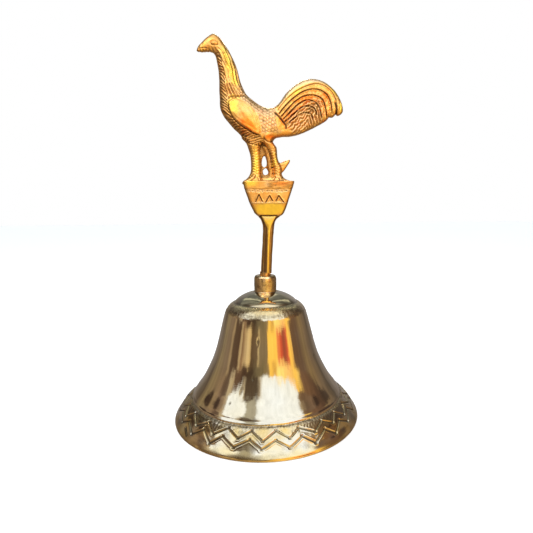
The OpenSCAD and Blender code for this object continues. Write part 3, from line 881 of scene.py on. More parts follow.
    # the pedestal's two ends are darkened in colour: painted shade on its sides turned from the light
    edge = np.minimum(x - np.interp(z, [82.4, 85.7, 88.1, 90.5, 92.9, 95.8], [-3.0, -5.0, -6.0, -6.8, -7.7, -8.2]),
                      np.interp(z, [82.4, 85.7, 88.1, 90.5, 92.9, 95.8], [7.1, 8.8, 9.6, 10.4, 11.3, 12.1]) - x)
    tone = np.maximum(tone, ped * np.where(z > 82.6, 1, 0) * 0.75 * step(-edge, -0.95, -0.35) * step(-z, -95.4, -94.6))
    # shadow line where the pedestal sits on the wedge
    under = np.where((z > 81.2) & (z < 82.9) & (np.abs(y) > 1.0) & (np.abs(x - 1.8) < 3.4), 1, 0)
    rel -= under * 0.28 * np.exp(-((z - 82.25) / 0.22) ** 2)
    tone = np.maximum(tone, under * 0.9 * np.exp(-((z - 82.25) / 0.3) ** 2))
    # stem: a fine second line left of the ridge
    stem = np.where((z < 78) & (z > 59.5), 1, 0)
    sx = x - np.interp(z, [59.5, 69.0, 78.6], [0.5, 1.0, 1.65])
    rel -= stem * 0.09 * np.exp(-((sx + 1.1) / 0.16) ** 2) * step(np.abs(y), 0.8, 1.2)
    # the stem left of the ridge is darkened in colour: painted shade on its shaded side
    tone = np.maximum(tone, stem * np.clip(0.28 * step(-sx, -0.1, 0.9), 0, 1) * step(np.abs(y), 0.3, 1.0))

    # front ridge of the stem, opening upward into a wedge
    wedge = np.array([(-1.0, 82.0), (4.5, 82.0), (3.3, 79.6), (2.35, 77.2), (2.05, 74.0), (1.8, 69.0), (1.45, 59.0),
                      (0.8, 59.0), (1.05, 69.0), (1.3, 74.0), (1.25, 77.2), (0.3, 79.6)])
    wd = depth_in(x, z, wedge)
    shaft = np.where((z < 82.2) & (z > 59.2), 1, 0) * step(np.abs(y), 0.6, 1.1)
    rel += shaft * 0.16 * step(wd, -0.22, 0.05)
    leftside = shaft * step(-wd, 0.0, 0.3) * np.where(x < np.interp(z, [59, 69, 78.6], [1.2, 1.45, 1.8]), 1, 0)
    rightside = shaft * step(-wd, 0.0, 0.3) * (1 - (leftside > 0))
    # the facets either side of the ridge are darkened in colour, the left one most with a lighter line in it: painted
    # shade on the sides turned from the light
    tone = np.maximum(tone, 1.45 * leftside * (1 - 0.62 * np.exp(-((sx + 1.35) / 0.14) ** 2)))
    tone = np.maximum(tone, rightside * (0.45 + 0.85 * step(sx, 1.35, 1.9)))

    # how far the metal is painted towards copper red or yellow (0 red, 0.5 plain, 1 yellow): the yellow patches are
    # painted highlights, the red-orange ones painted reflections of warm surroundings, with some random tone on top
    tint_with_painted_light = np.full(len(P), 0.5)

    def patch(cx_, cz_, rx_, rz_, turn_, amount):
        nonlocal tint_with_painted_light
        ca, sa = math.cos(math.radians(turn_)), math.sin(math.radians(turn_))
        a_ = ((x - cx_) * ca + (z - cz_) * sa) / rx_
        b_ = (-(x - cx_) * sa + (z - cz_) * ca) / rz_
        tint_with_painted_light = tint_with_painted_light + 1.25 * amount * np.exp(-(a_ * a_ + b_ * b_))
    for args in ((-4.6, 116.2, 3.6, 1.5, -28, -0.42), (3.0, 112.3, 2.6, 0.9, 6, -0.45), (6.9, 117.6, 1.0, 2.0, 20, -0.34),
                 (10.6, 120.6, 3.2, 0.9, 44, -0.36), (16.5, 126.6, 3.0, 0.9, 18, -0.34), (24.5, 128.0, 1.6, 2.0, 0, -0.26),
                 (7.2, 95.0, 4.4, 0.65, 2, -0.20), (10.0, 88.0, 1.0, 2.2, -20, -0.3), (-0.7, 121.6, 2.6, 2.0, -40, -0.16),
                 (-21.6, 146.4, 2.0, 1.2, 38, 0.22), (-13.0, 141.0, 1.2, 4.5, 18, 0.42), (-10.6, 134.0, 1.4, 3.6, 12, 0.38),
                 (-10.8, 123.4, 1.8, 2.6, 10, 0.55), (-6.4, 118.0, 3.0, 1.6, -40, -0.3), (2.4, 117.6, 2.2, 3.2, 20, -0.16), (-3.0, 103.0, 1.3, 5.5, 0, 0.4), (4.6, 103.6, 1.1, 4.2, -10, 0.26),
                 (13.0, 129.6, 4.0, 0.9, 38, 0.42), (27.5, 130.3, 3.0, 1.0, -48, 0.42), (30.2, 124.0, 0.8, 2.6, 0, 0.4),
                 (2.2, 84.9, 5.0, 2.2, 0, 0.9), (-5.2, 94.6, 2.6, 1.2, 0, 0.45), (6.5, 94.3, 5.5, 0.8, 4, -0.12), (-7.5, 114.6, 2.6, 1.6, -35, -0.30), (13.0, 117.5, 6.5, 3.2, 30, -0.14), (1.0, 89.0, 6.0, 1.2, 0, -0.10)):
        patch(*args)
    # the stem's ridge is painted yellow: a painted highlight
    tint_with_painted_light = tint_with_painted_light + 0.42 * shaft * step(wd, -0.1, 0.15)
    speck = in_tail * step(s1 * -d1, -0.5, 1.0) * step(-d1, -7.5, -4.0)
    tint_with_painted_light = tint_with_painted_light + speck * (0.30 * waves(x, y, z, 1.9, 23) - 0.10) + 0.16 * np.where(z > 97, 1, 0) * waves(x, y, z, 2.6, 29)
    tint_with_painted_light = np.clip(tint_with_painted_light + 0.06 * waves(x, y, z, 6.0, 19), 0, 1)
    # greyer, unrubbed skin: upper edge of the tail, along the back, strands low on the tail
    dto, _, sto = near(x, z, curve(T_out, 4))
    pale = in_tail * step(sto * dto, 0.1, 0.9) * 0.55 * step(-x, -27, -21)
    pale = np.maximum(pale, 0.55 * np.where(on_fig, 1, 0) * np.exp(-((x - 0.5) / 6.0) ** 2) * step(z + 0.25 * x, 121.4, 123.8))
    pale = np.maximum(pale, 0.55 * below * low * np.clip(strand, 0, 1))
    pale = np.maximum(pale, 0.45 * back_zone)
    pale = np.maximum(pale, 0.65 * pf * np.exp(-((z - 91.9 - wob) / 0.45) ** 2))
    pale = np.maximum(pale, 0.6 * pf * np.exp(-((z - 87.3) / 0.4) ** 2))
    pale = np.maximum(pale, 0.7 * shaft * step(z, 80.2, 81.6) * step(wd, 0, 0.4))
    # the pedestal rim's right half is darkened and mottled: painted shade; the pale spot on its front below is a
    # painted highlight
    rim = ped * np.where(z > 92.9, 1, 0) * (0.5 + 0.5 * waves(x, 2 * y, 5 * z, 4.0, 41))
    tone = np.maximum(tone, 0.95 * rim * step(x, -2.0, 2.5))
    pale = np.maximum(pale, 0.55 * pf * np.exp(-((x - 1.2) / 0.9) ** 2 - ((z - 94.3) / 0.9) ** 2))
    pale = np.clip(pale, 0, 1)

    # uneven hand-finished skin
    rel += (0.030 * waves(x, y, z, 5.0, 3) + 0.018 * waves(x, y, z, 1.7, 8)) * step(z, 58.8, 60.0)
    keep = step(z, 59.0, 60.0) + step(-z, -59.0, -58.0)
    P = P + N * (rel * keep)[:, None]
    P[:, 2] = np.maximum(P[:, 2], 40.25)

    N = vertex_normals(P, quads)
    # darkness from concavity, blurred concavity and the marks above: painted shade standing in for occlusion in
    # hollows, grooves and shaded sides
    shade_grime = concavity(P, N, quads, 2) / h
    shade_grime = np.clip(shade_grime * 2.3, 0, 1)
    wide = concavity(P, N, quads, 1)
    for _ in range(10):
        wide = neighbour_mean(wide, quads, len(P))
    shade_grime = np.clip(shade_grime + np.clip(wide / h * 4.5, 0, 0.5) + 0.52 * tone, 0, 1)
    shade_grime = 0.5 * shade_grime + 0.5 * neighbour_mean(shade_grime, quads, len(P))
    ob = make_mesh("handle_casting_detail", P, quads, "bell", "handle_casting", CAST,
                   {"shade_and_grime": shade_grime, "tint_with_painted_light": tint_with_painted_light, "pale": pale})
    decimate(ob, 192000)
    return ob


build_handle()

# ---------------------------------------------------------------- bell
OUTER = [(37.3, 0.0), (37.72, 0.08), (37.92, 0.36), (37.9, 0.72), (37.72, 1.16), (37.36, 1.74), (36.86, 2.44),
         (36.22, 3.3), (34.65, 5.7), (33.2, 7.15), (31.7, 8.45), (30.9, 9.15), (30.6, 9.6),
         (30.0, 10.5), (29.21, 11.8), (26.45, 15.6), (24.08, 19.9), (21.92, 24.6),
         (20.33, 29.3), (19.07, 34.1), (17.92, 38.8), (16.88, 42.6), (16.3, 44.2),
         (15.47, 45.5), (14.4, 46.6), (13.3, 47.25)]
CROWN = [(13.3, 47.25), (12.9, 47.5), (12.2, 48.15), (11.0, 49.1), (9.6, 49.95), (7.6, 50.85), (6.0, 51.35),
         (4.95, 51.62), (4.6, 51.68), (2.1, 51.68)]
INNER = [(2.1, 48.62), (6.5, 48.62), (9.0, 47.8), (11.6, 46.4), (13.4, 44.6), (14.7, 42.2),
         (15.8, 38.8), (16.9, 34.4), (18.1, 29.8), (19.7, 25.2), (21.8, 20.6), (23.9, 16.6),
         (26.4, 12.9), (28.6, 9.7), (31.6, 6.4), (34.2, 2.8), (35.3, 0.7), (35.55, 0.12), (35.75, 0.0)]


def resample(c, spacing):
    seg = np.sqrt((np.diff(c, axis=0) ** 2).sum(1))
    s = np.r_[0, np.cumsum(seg)]
    out = [0.0]
    while out[-1] < s[-1] - 1e-6:
        p = np.array([np.interp(out[-1], s, c[:, 0]), np.interp(out[-1], s, c[:, 1])])
        out.append(min(s[-1], out[-1] + spacing(p)))
    if len(out) > 2 and out[-1] - out[-2] < 0.4 * (out[-2] - out[-3]):
        out.pop(-2)
    return np.stack([np.interp(out, s, c[:, 0]), np.interp(out, s, c[:, 1])], 1)


def build_bell():
    fine = 984
    coarse = fine // 3
    oc = curve(OUTER, 8)
    cut_z = 11.0
    low = oc[oc[:, 1] <= cut_z + 1e-9]
    high = oc[oc[:, 1] >= low[-1, 1] - 1e-9]
    band = resample(low, lambda p: 0.23 if p[1] > 1.6 else 0.32)
    rest = resample(high, lambda p: 1.15 if p[1] < 42.6 else 0.36)[1:]
    crown = resample(curve(CROWN, 8), lambda p: 0.5 if p[0] > 5.2 else 0.3)[1:]
    inner = resample(curve(INNER, 6), lambda p: 2.2 if 3 < p[1] < 47 else 0.6)
    rings = [(p, fine) for p in band] + [(p, coarse) for p in rest] + [(p, coarse) for p in crown]
    rings += [(p, coarse) for p in inner]
    verts, starts, prof = [], [], []
    count = 0
    for p, n in rings:
        a = 2 * np.pi * np.arange(n) / n
        verts.append(np.stack([p[0] * np.sin(a), -p[0] * np.cos(a), np.full(n, p[1])], 1))
        starts.append(count)
        prof.append(n)
        count += n
    P = np.concatenate(verts)
    faces = []
    m = len(rings)
    for j in range(m):
        k = (j + 1) % m
        a0, b0, na, nb = starts[j], starts[k], prof[j], prof[k]
        if na == nb:
            for i in range(na):
                i2 = (i + 1) % na
                faces.append((a0 + i, a0 + i2, b0 + i2, b0 + i))
        elif na == 3 * nb:
            for i in range(nb):
                i2 = (i + 1) % nb
                faces.append((a0 + 3 * i, a0 + 3 * i + 1, a0 + 3 * i + 2, a0 + (3 * i + 3) % na, b0 + i2, b0 + i))
        else:
            for i in range(na):
                i2 = (i + 1) % na
                faces.append((a0 + i, a0 + i2, b0 + (3 * i + 3) % nb, b0 + 3 * i + 2, b0 + 3 * i + 1, b0 + 3 * i))
    x, y, z = P.T
    r = np.hypot(x, y)
    az = np.degrees(np.arctan2(x, -y))
    n_out = sum(n for _, n in rings[:len(band) + len(rest)])
    outer = np.arange(len(P)) < n_out
    # outward normal of the profile, for pushing the pattern in
    pr = np.array([p for p, _ in rings])
    tg = np.gradient(pr, axis=0)
    nr = np.stack([tg[:, 1], -tg[:, 0]], 1)
    nr /= np.maximum(np.linalg.norm(nr, axis=1), 1e-9)[:, None]
    ring_id = np.repeat(np.arange(m), prof)
    nrm = nr[ring_id]
    rel = np.zeros(len(P))
    tone = np.zeros(len(P))
    # distance up the slope of the skirt, from the lip
    sl = np.r_[0, np.cumsum(np.sqrt((np.diff(pr, axis=0) ** 2).sum(1)))][ring_id]
    zs_, ss_ = pr[:len(band), 1], np.r_[0, np.cumsum(np.sqrt((np.diff(pr[:len(band)], axis=0) ** 2).sum(1)))]
    at = lambda zz: float(np.interp(zz, zs_, ss_))
    rng = np.random.RandomState(11)
    per = 360 / 23
    R = 34.0
    sel = np.flatnonzero(outer & (z < 10.6) & (z > 0.6))
    sx, sq_, saz = np.radians(az[sel]) * R, sl[sel], az[sel]
    for zu, zd, shift in ((8.15, 6.15, 0.0), (6.0, 3.55, -0.6)):
        pts = []
        for k in range(23):
            a = -2.4 + shift + per * k
            pts.append((a + rng.uniform(-0.8, 0.8), zd + rng.uniform(-0.28, 0.22)))
            pts.append((a + per / 2 + rng.uniform(-0.9, 0.9), zu + rng.uniform(-0.18, 0.2)))
        best = np.full(len(sel), 1e9)
        sidev = np.zeros(len(sel))
        for i in range(46):
            (a0, z0), (a1, z1) = pts[i], pts[(i + 1) % 46]
            if i == 45:
                a1 += 360
            mid = 0.5 * (a0 + a1)
            rl = (saz - mid + 180) % 360 - 180
            near_ = np.abs(rl) < per
            px_ = np.radians(rl) * R
            ax_, ay_ = np.radians(a0 - mid) * R, at(z0)
            bx_, by_ = np.radians(a1 - mid) * R, at(z1)
            dx_, dy_ = bx_ - ax_, by_ - ay_
            t = np.clip(((px_ - ax_) * dx_ + (sq_ - ay_) * dy_) / (dx_ ** 2 + dy_ ** 2), -0.06, 1.06)
            ex_, ey_ = px_ - ax_ - t * dx_, sq_ - ay_ - t * dy_
            dd = np.hypot(ex_, ey_) + np.where(near_, 0, 1e3)
            u = dd < best
            best = np.where(u, dd, best)
            sidev = np.where(u, ey_, sidev)
        w = 0.27
        g = np.exp(-(best / w) ** 2)
        lipv = np.exp(-((best - 0.60) / 0.20) ** 2) * np.where(sidev < 0, 1.0, 0.5)
        hand = 1 + 0.35 * waves(x[sel], y[sel], z[sel], 5.0, 77 + int(zu))
        worn = 1 - 0.55 * np.exp(-((saz - 12) / 20.0) ** 2) - 0.35 * np.exp(-((saz - 172) / 24.0) ** 2)
        hand = hand * (0.4 + 0.6 * worn)
        rel[sel] += (-0.40 * g + 0.11 * lipv) * hand
        # the grooves are darkened in colour too: painted shade in the cuts
        tone[sel] = np.maximum(tone[sel], g * worn)
    # one stray chisel stroke below the pattern
    for a0, z0, a1, z1 in ((-58.5, 3.6, -53.5, 2.2), (118.0, 3.4, 122.5, 2.3)):
        mid = 0.5 * (a0 + a1)
        px_ = np.radians((saz - mid + 180) % 360 - 180) * R
        ax_, ay_, bx_, by_ = np.radians(a0 - mid) * R, at(z0), np.radians(a1 - mid) * R, at(z1)
        t = np.clip(((px_ - ax_) * (bx_ - ax_) + (sq_ - ay_) * (by_ - ay_)) / ((bx_ - ax_) ** 2 + (by_ - ay_) ** 2), 0, 1)
        dd = np.hypot(px_ - ax_ - t * (bx_ - ax_), sq_ - ay_ - t * (by_ - ay_))
        g = np.exp(-(dd / 0.3) ** 2)
        rel[sel] -= 0.3 * g
        # the stroke is darkened in colour: painted shade in the cut
        tone[sel] = np.maximum(tone[sel], g)
    # turned ring line above the pattern, with a fine bead over it
    wob = 0.07 * np.sin(np.radians(az) * 5) + 0.05 * np.sin(np.radians(az) * 17 + 1)
    grain = waves(x, y, z, 0.85, 61) * 0.6 + waves(x, y, z, 1.6, 62) * 0.4
    strip = np.exp(-((z - 9.0 - wob) / 0.55) ** 2)
    rel += outer * (-0.20 * np.exp(-((z - 9.25 - wob) / 0.22) ** 2) + 0.07 * np.exp(-((z - 9.9 - wob) / 0.26) ** 2) + 0.085 * strip * grain)
    tone = np.maximum(tone, outer * strip * np.clip(0.38 - 0.45 * grain, 0, 0.9))
    # worked, slightly hammered ground of the skirt between ring and pattern
    ground = outer * step(z, 6.6, 7.6) * step(-z, -9.3, -8.9)
    hm = waves(x, y, z, 1.5, 21)
    rel += ground * 0.028 * hm
    skirt = outer * step(z, 2.2, 3.2) * step(-z, -9.0, -8.2)
    rel += skirt * 0.018 * waves(x, y, z, 4.0, 5)
    # shoulder ring and its matte band
    rel += outer * 0.0
    sh = outer * step(z, 43.2, 44.6) * step(-z, -47.6, -47.1)
    tone = np.maximum(tone, sh * np.clip(0.15 + 0.16 * step(-z, -45.6, -44.9) + 0.16 * waves(x, y, z, 1.3, 36) - 0.22 * np.exp(-((z - 46.2) / 0.5) ** 2), 0, 1))
    tone = np.maximum(tone, outer * step(-z, -3.2, -1.6) * np.clip(0.20 + 0.14 * waves(x, y, z, 7.0, 38), 0, 0.4))
    tone = np.maximum(tone, outer * step(z, 1.4, 2.2) * step(-z, -8.6, -7.6) * np.clip(0.10 + 0.20 * waves(x, y, z, 6.0, 39), 0, 0.3))
    rel += sh * (0.026 * waves(x, y, z, 1.2, 31) + 0.012 * waves(x, y, z, 0.8, 35))
    crown_part = (np.arange(len(P)) >= n_out) & (np.arange(len(P)) < n_out + len(crown) * coarse)
    # a cut ring on the crown, also darkened in colour: painted shade in the groove
    rel -= 0.16 * np.exp(-((r - 12.75) / 0.22) ** 2) * crown_part
    tone = np.maximum(tone, crown_part * 0.5 * np.exp(-((r - 12.8) / 0.25) ** 2))
    # slight unevenness of the hand-held turning
    rel += outer * step(z, 11, 14) * (0.020 * waves(x, y, z, 22, 9) + 0.006 * waves(x, y, z, 7, 4))
    # small dents, darkened in colour: painted shade in the dents
    for a_, z_, r_, d_ in ((-22.0, 18.2, 0.55, 0.16), (-30.0, 14.6, 0.5, 0.14), (-13.0, 22.6, 0.45, 0.1), (-9.5, 36.0, 0.4, 0.1),
                           (64.0, 27.0, 0.5, 0.12), (150.0, 20.0, 0.6, 0.15), (-140.0, 33.0, 0.45, 0.12)):
        pit = outer * np.exp(-(((np.radians((az - a_ + 180) % 360 - 180) * r) ** 2 + (z - z_) ** 2) / r_ ** 2))
        rel -= d_ * pit
        tone = np.maximum(tone, 0.7 * pit)
    inn = np.arange(len(P)) >= n_out + len(crown) * coarse
    rel += inn * 0.02 * np.sin(z * 2 * np.pi / 9.0) * step(z, 2, 4) * step(-z, -46, -43)
    P[:, 0] += np.sin(np.radians(az)) * nrm[:, 0] * rel
    P[:, 1] += -np.cos(np.radians(az)) * nrm[:, 0] * rel
    P[:, 2] += nrm[:, 1] * rel
    P[:, 2] = np.maximum(P[:, 2], 0.0)
    matte = np.clip(0.75 * sh * (0.65 + 0.35 * waves(x, y, z, 2.4, 44)) + 0.7 * outer * strip + 0.14 * ground + inn * 0.75
                    + outer * 0.12 * step(-z, -9.2, -8.8), 0, 1)
    # darkness attribute from the marks above: painted shade in the cut lines, ring groove and dents, with mottled
    # darkening near the lip and on the skirt
    shade_grime = np.clip(0.98 * tone, 0, 1)
    # yellower where hands and cloths wear it: near the lip, in spots on the skirt, under the shoulder
    warm = np.clip(outer * (0.75 * step(-z, -3.4, -0.8) + step(z, 1.0, 3.0) * step(-z, -9.4, -8.6) * (0.30 + 0.45 * waves(x, y, z, 9.0, 71))
                            + sh * 0.30 + 0.14 * step(z, 9.5, 12.0) * (1 + waves(x, y, z, 16.0, 73))), 0, 1)
    # dark ring painted round the collar's foot, where it stands on the crown
    shade_grime = np.maximum(shade_grime, crown_part * 0.7 * np.exp(-((r - 4.7) / 0.35) ** 2))
    shade_grime = np.maximum(shade_grime, inn * 0.28)
    return make_mesh("bell_shell_detail", P, faces, "bell", "bell_shell", BELL,
                     {"shade_and_grime": shade_grime, "matte": matte, "warm": warm})


build_bell()


# ---------------------------------------------------------------- turned and formed small parts
def lathe(profile, n, closed=True, wobble=None):
    pr = np.asarray(profile, float)
    m = len(pr)
    a = 2 * np.pi * np.arange(n) / n
    P = np.concatenate([np.stack([p[0] * np.sin(a), -p[0] * np.cos(a), np.full(n, p[1])], 1) for p in pr])
    faces = []
    for j in range(m if closed else m - 1):
        k = (j + 1) % m
        for i in range(n):
            i2 = (i + 1) % n
            faces.append((j * n + i, j * n + i2, k * n + i2, k * n + i))
    if wobble:
        r = np.hypot(P[:, 0], P[:, 1])
        d = wobble(P)
        P[:, 0] += P[:, 0] / np.maximum(r, 1e-6) * d
        P[:, 1] += P[:, 1] / np.maximum(r, 1e-6) * d
    return P, faces


def collar():
    z0 = 51.7
    out = [(1.99, 0.01), (4.42, 0.01), (4.46, 0.04), (4.48, 0.2), (4.52, 0.8), (4.58, 2.0), (4.60, 3.2), (4.60, 4.4),
           (4.50, 5.4), (4.34, 6.0), (4.08, 6.38), (3.72, 6.56), (3.3, 6.6), (2.62, 6.58), (2.46, 6.45),
           (2.24, 6.0), (2.21, 5.38), (1.99, 5.36)]
    c = resample(curve(np.array(out), 4), lambda p: 0.16)
    c[:, 0] = np.maximum(c[:, 0], 1.985)

    def wob(P):
        r = np.hypot(P[:, 0], P[:, 1])
        s = step(r, 3.6, 4.3)
        return s * (0.018 * np.sin(P[:, 2] * 2 * np.pi / 0.55) + 0.03 * waves(P[:, 0], P[:, 1], P[:, 2], 3.0, 17)) - 0.02 * s
    P, f = lathe(c + np.array([0, z0]), 128, True, wob)
    return make_mesh("neck_collar_detail", P, f, "bell", "neck_collar", COLLAR)


def washer():
    z1, t = 48.6, 0.8
    pr = [(2.1, z1 - t + 0.1), (2.2, z1 - t), (4.3, z1 - t), (4.42, z1 - t + 0.06), (4.48, z1 - t + 0.2),
          (4.48, z1 - 0.2), (4.42, z1 - 0.06), (4.3, z1 - 0.005), (2.2, z1 - 0.005), (2.1, z1 - 0.1)]
    P, f = lathe(resample(np.array(pr + pr[:1], float), lambda p: 0.16)[:-1], 96)
    return make_mesh("crown_washer_detail", P, f, "bell", "crown_washer", WASHER)


def hex_nut():
    """Hexagon nut with chamfered corners on both faces and a countersunk thread."""
    z0, z1, af = 44.6, 47.8, 6.96
    n = 192
    a = 2 * np.pi * np.arange(n) / n
    flat = (af / 2) / np.cos((a + np.pi / 6) % (np.pi / 3) - np.pi / 6)
    rings = []

    def ring(rad, z):
        rad = np.broadcast_to(rad, a.shape)
        rings.append(np.stack([rad * np.cos(a), rad * np.sin(a), np.broadcast_to(z, a.shape)], 1))
    cham = lambda s: np.maximum(flat - s, 0)
    steps = 9
    rmax = flat.max()
    drop = lambda rr: np.clip((rr - 3.42) * 0.58, 0, 1)
    ring(1.96, z0 + 0.35)
    ring(2.3, z0 + 0.02)
    ring(2.9, z0)
    ring(np.minimum(flat, 3.42), z0)
    ring(flat - 0.015, z0 + drop(flat) + 0.01)
    ring(flat, z0 + drop(flat) + 0.08)
    for k in range(1, steps):
        ring(flat, z0 + 0.5 + (z1 - z0 - 1.0) * k / steps)
    ring(flat, z1 - drop(flat) - 0.08)
    ring(flat - 0.015, z1 - drop(flat) - 0.01)
    ring(np.minimum(flat, 3.42), z1 - 0.005)
    ring(2.9, z1 - 0.005)
    ring(2.3, z1 - 0.02)
    ring(1.96, z1 - 0.35)
    for k in range(1, 24):
        zz = z1 - 0.35 - (z1 - z0 - 0.7) * k / 24
        ring(1.955 + 0.0 * a, zz)
    P = np.concatenate(rings)
    m = len(rings)
    faces = [(j * n + i, j * n + (i + 1) % n, ((j + 1) % m) * n + (i + 1) % n, ((j + 1) % m) * n + i)
             for j in range(m) for i in range(n)]
    return make_mesh("crown_nut_detail", P, faces, "bell", "crown_nut", NUT)


def wire_link():
    """Closed ring of drawn wire, its two ends butted at one side."""
    cz, R, r = 39.2, 2.6, 0.495
    n, k = 160, 28
    a = 2 * np.pi * np.arange(n) / n
    b = 2 * np.pi * np.arange(k) / k
    A, B = np.meshgrid(a, b, indexing="ij")
    seam = np.exp(-(((A - 0.1 + np.pi) % (2 * np.pi) - np.pi) * R / 0.07) ** 2)
    rr = r * (1 - 0.10 * seam) + 0.0 * A
    X = rr * np.sin(B)
    rad = R + rr * np.cos(B)
    P = np.stack([X, rad * np.cos(A), cz + rad * np.sin(A)], -1).reshape(-1, 3)
    faces = [(i * k + j, i * k + (j + 1) % k, ((i + 1) % n) * k + (j + 1) % k, ((i + 1) % n) * k + j)
             for i in range(n) for j in range(k)]
    faces = [tuple(reversed(f)) for f in faces]
    return make_mesh("hanger_link_detail", P, faces, "link", "hanger_link", WIRE)


def clapper_rod():
    """Rod hammered flat into a drilled eye, its other end riveted over under the ball."""
    h = 0.11
    org = np.array([-2.6, -2.6, 1.2])
    n = np.ceil((np.array([2.6, 2.6, 38.9]) - org) / h).astype(int) + 1
    X, Y, Z = np.meshgrid(*[org[i] + h * np.arange(n[i]) for i in range(3)], indexing="ij")
    rr = np.hypot(X, Y)
    rod = smax(rr - 1.18, np.abs(Z - 18.1) - 15.9, 0.1)
    ez = 36.22
    flat = step(Z, 32.6, 34.4)
    wid = 1.18 + 0.68 * step(Z, 32.4, 35.0)
    eye = np.where(Z > ez, np.sqrt(X ** 2 + (Z - ez) ** 2) - 1.86, np.abs(X) - wid)
    thick = 1.15 + (0.57 - 1.15) * flat
    pad = smax(smax(eye, np.abs(Y) - thick, 0.28), 32.0 - Z, 0.2)
    pad = smax(pad, rr - 1.9, 0.1)
    F = smin(rod, pad, 0.25)
    rivet = smax(np.sqrt(X ** 2 + Y ** 2 + (Z - 3.6) ** 2) - 1.66, Z - 2.5, 0.1)
    F = smin(F, rivet, 0.1)
    F = smax(F, 1.22 - np.sqrt(X ** 2 + (Z - ez) ** 2), 0.12)
    P, q = surface_nets(F.astype(np.float32), org, h)
    P = relax(P, q, F, org, h, 2)
    N = vertex_normals(P, q)
    x, y, z = P.T
    hammer = 0.03 * waves(x, y, z, 1.4, 41) * step(z, 32.5, 34.0) * step(np.hypot(x, z - ez), 1.3, 1.5)
    draw = 0.006 * np.sin(np.arctan2(y, x) * 9) * step(-z, -33, -31)
    P = P + N * np.minimum(hammer + draw, 0.02)[:, None]
    ob = make_mesh("clapper_rod_detail", P, q, "clapper", "clapper_rod", ROD)
    decimate(ob, 90000)
    return ob


def clapper_ball():
    zc, R = 8.2, 5.97
    pts = []
    bore = 1.25
    lo = math.asin(1.95 / R)
    hi = math.acos(1.6 / R)
    for k in range(0, 73):
        t = -math.pi / 2 + lo + (math.pi / 2 - lo + hi) * k / 72
        pts.append((R * math.cos(t), zc + R * math.sin(t)))
    top = [(1.36, pts[-1][1] + 0.02), (bore, pts[-1][1] - 0.12)]
    low = [(bore, 2.72), (1.34, 2.56)]
    prof = low + pts + top
    wall = [(bore, z) for z in np.linspace(top[-1][1] - 0.6, 3.2, 16)]
    P, f = lathe(np.array(prof + wall), 144, True,
                 lambda P: 0.012 * np.sin(P[:, 2] * 2 * np.pi / 0.42) * step(np.hypot(P[:, 0], P[:, 1]), 2.2, 3.0) - 0.012 * step(np.hypot(P[:, 0], P[:, 1]), 2.2, 3.0))
    return make_mesh("clapper_ball_detail", P, f, "clapper", "clapper_ball", BALL)


collar()
washer()
hex_nut()
wire_link()
clapper_rod()
clapper_ball()

# ---------------------------------------------------------------- floor
bpy.ops.mesh.primitive_plane_add(size=6.0, location=(0, 0, -0.0001))
floor = bpy.context.object
floor.name = "floor"
fm, nt, bs = nodes_of("floor_pale")
bs.inputs["Base Color"].default_value = (0.86, 0.855, 0.84, 1)
bs.inputs["Emission Color"].default_value = (1.0, 1.0, 0.99, 1)
bs.inputs["Emission Strength"].default_value = 0.50
bs.inputs["Roughness"].default_value = 0.6
bs.inputs["Specular IOR Level"].default_value = 0.25
floor.data.materials.append(fm)
floor.visible_glossy = False

# ---------------------------------------------------------------- light
world = bpy.data.worlds.new("studio")
scene.world = world
world.use_nodes = True
nt = world.node_tree
nt.nodes.clear()
wout = nt.nodes.new("ShaderNodeOutputWorld")
tc = nt.nodes.new("ShaderNodeTexCoord")
sep = nt.nodes.new("ShaderNodeSeparateXYZ")
link(nt, tc.outputs["Generated"], sep.inputs[0])
# turn round the upright axis, 0 at the front (-Y), growing towards +X, as 0..1 over -180..180
ang = mathn(nt, "ARCTAN2", sep.outputs[0], mathn(nt, "MULTIPLY", sep.outputs[1], -1.0))
turn = mathn(nt, "ADD", mathn(nt, "MULTIPLY", ang, 1 / (2 * math.pi)), 0.5)
elev = mathn(nt, "MULTIPLY", mathn(nt, "ARCSINE", sep.outputs[2]), 180 / math.pi)
# nothing in a room has ruled edges: let the borders wander a little
stray = noise(nt, 9.0, 4, 0.6, tc.outputs["Generated"])
turn = mathn(nt, "ADD", turn, mathn(nt, "MULTIPLY", mathn(nt, "SUBTRACT", stray, 0.5), 0.034))
stray2 = noise(nt, 7.0, 4, 0.6, tc.outputs["Generated"], (1.0, 1.0, 1.7))
elev = mathn(nt, "ADD", elev, mathn(nt, "MULTIPLY", mathn(nt, "SUBTRACT", stray2, 0.5), 15.0))


def T(deg):
    return 0.5 + deg / 360.0


def band(stops):
    stops = [(a, (c[0] * 1.26, c[1] * 1.24, c[2] * 1.42) if max(c) < 0.29 and abs(a) > 45 else c) for a, c in stops]
    return ramp(nt, turn, [(T(a), c) for a, c in stops], "LINEAR")


def over(lo, hi):
    m = nt.nodes.new("ShaderNodeMapRange")
    m.interpolation_type = "SMOOTHSTEP"
    m.inputs["From Min"].default_value = lo
    m.inputs["From Max"].default_value = hi
    link(nt, elev, m.inputs["Value"])
    return m.outputs["Result"]


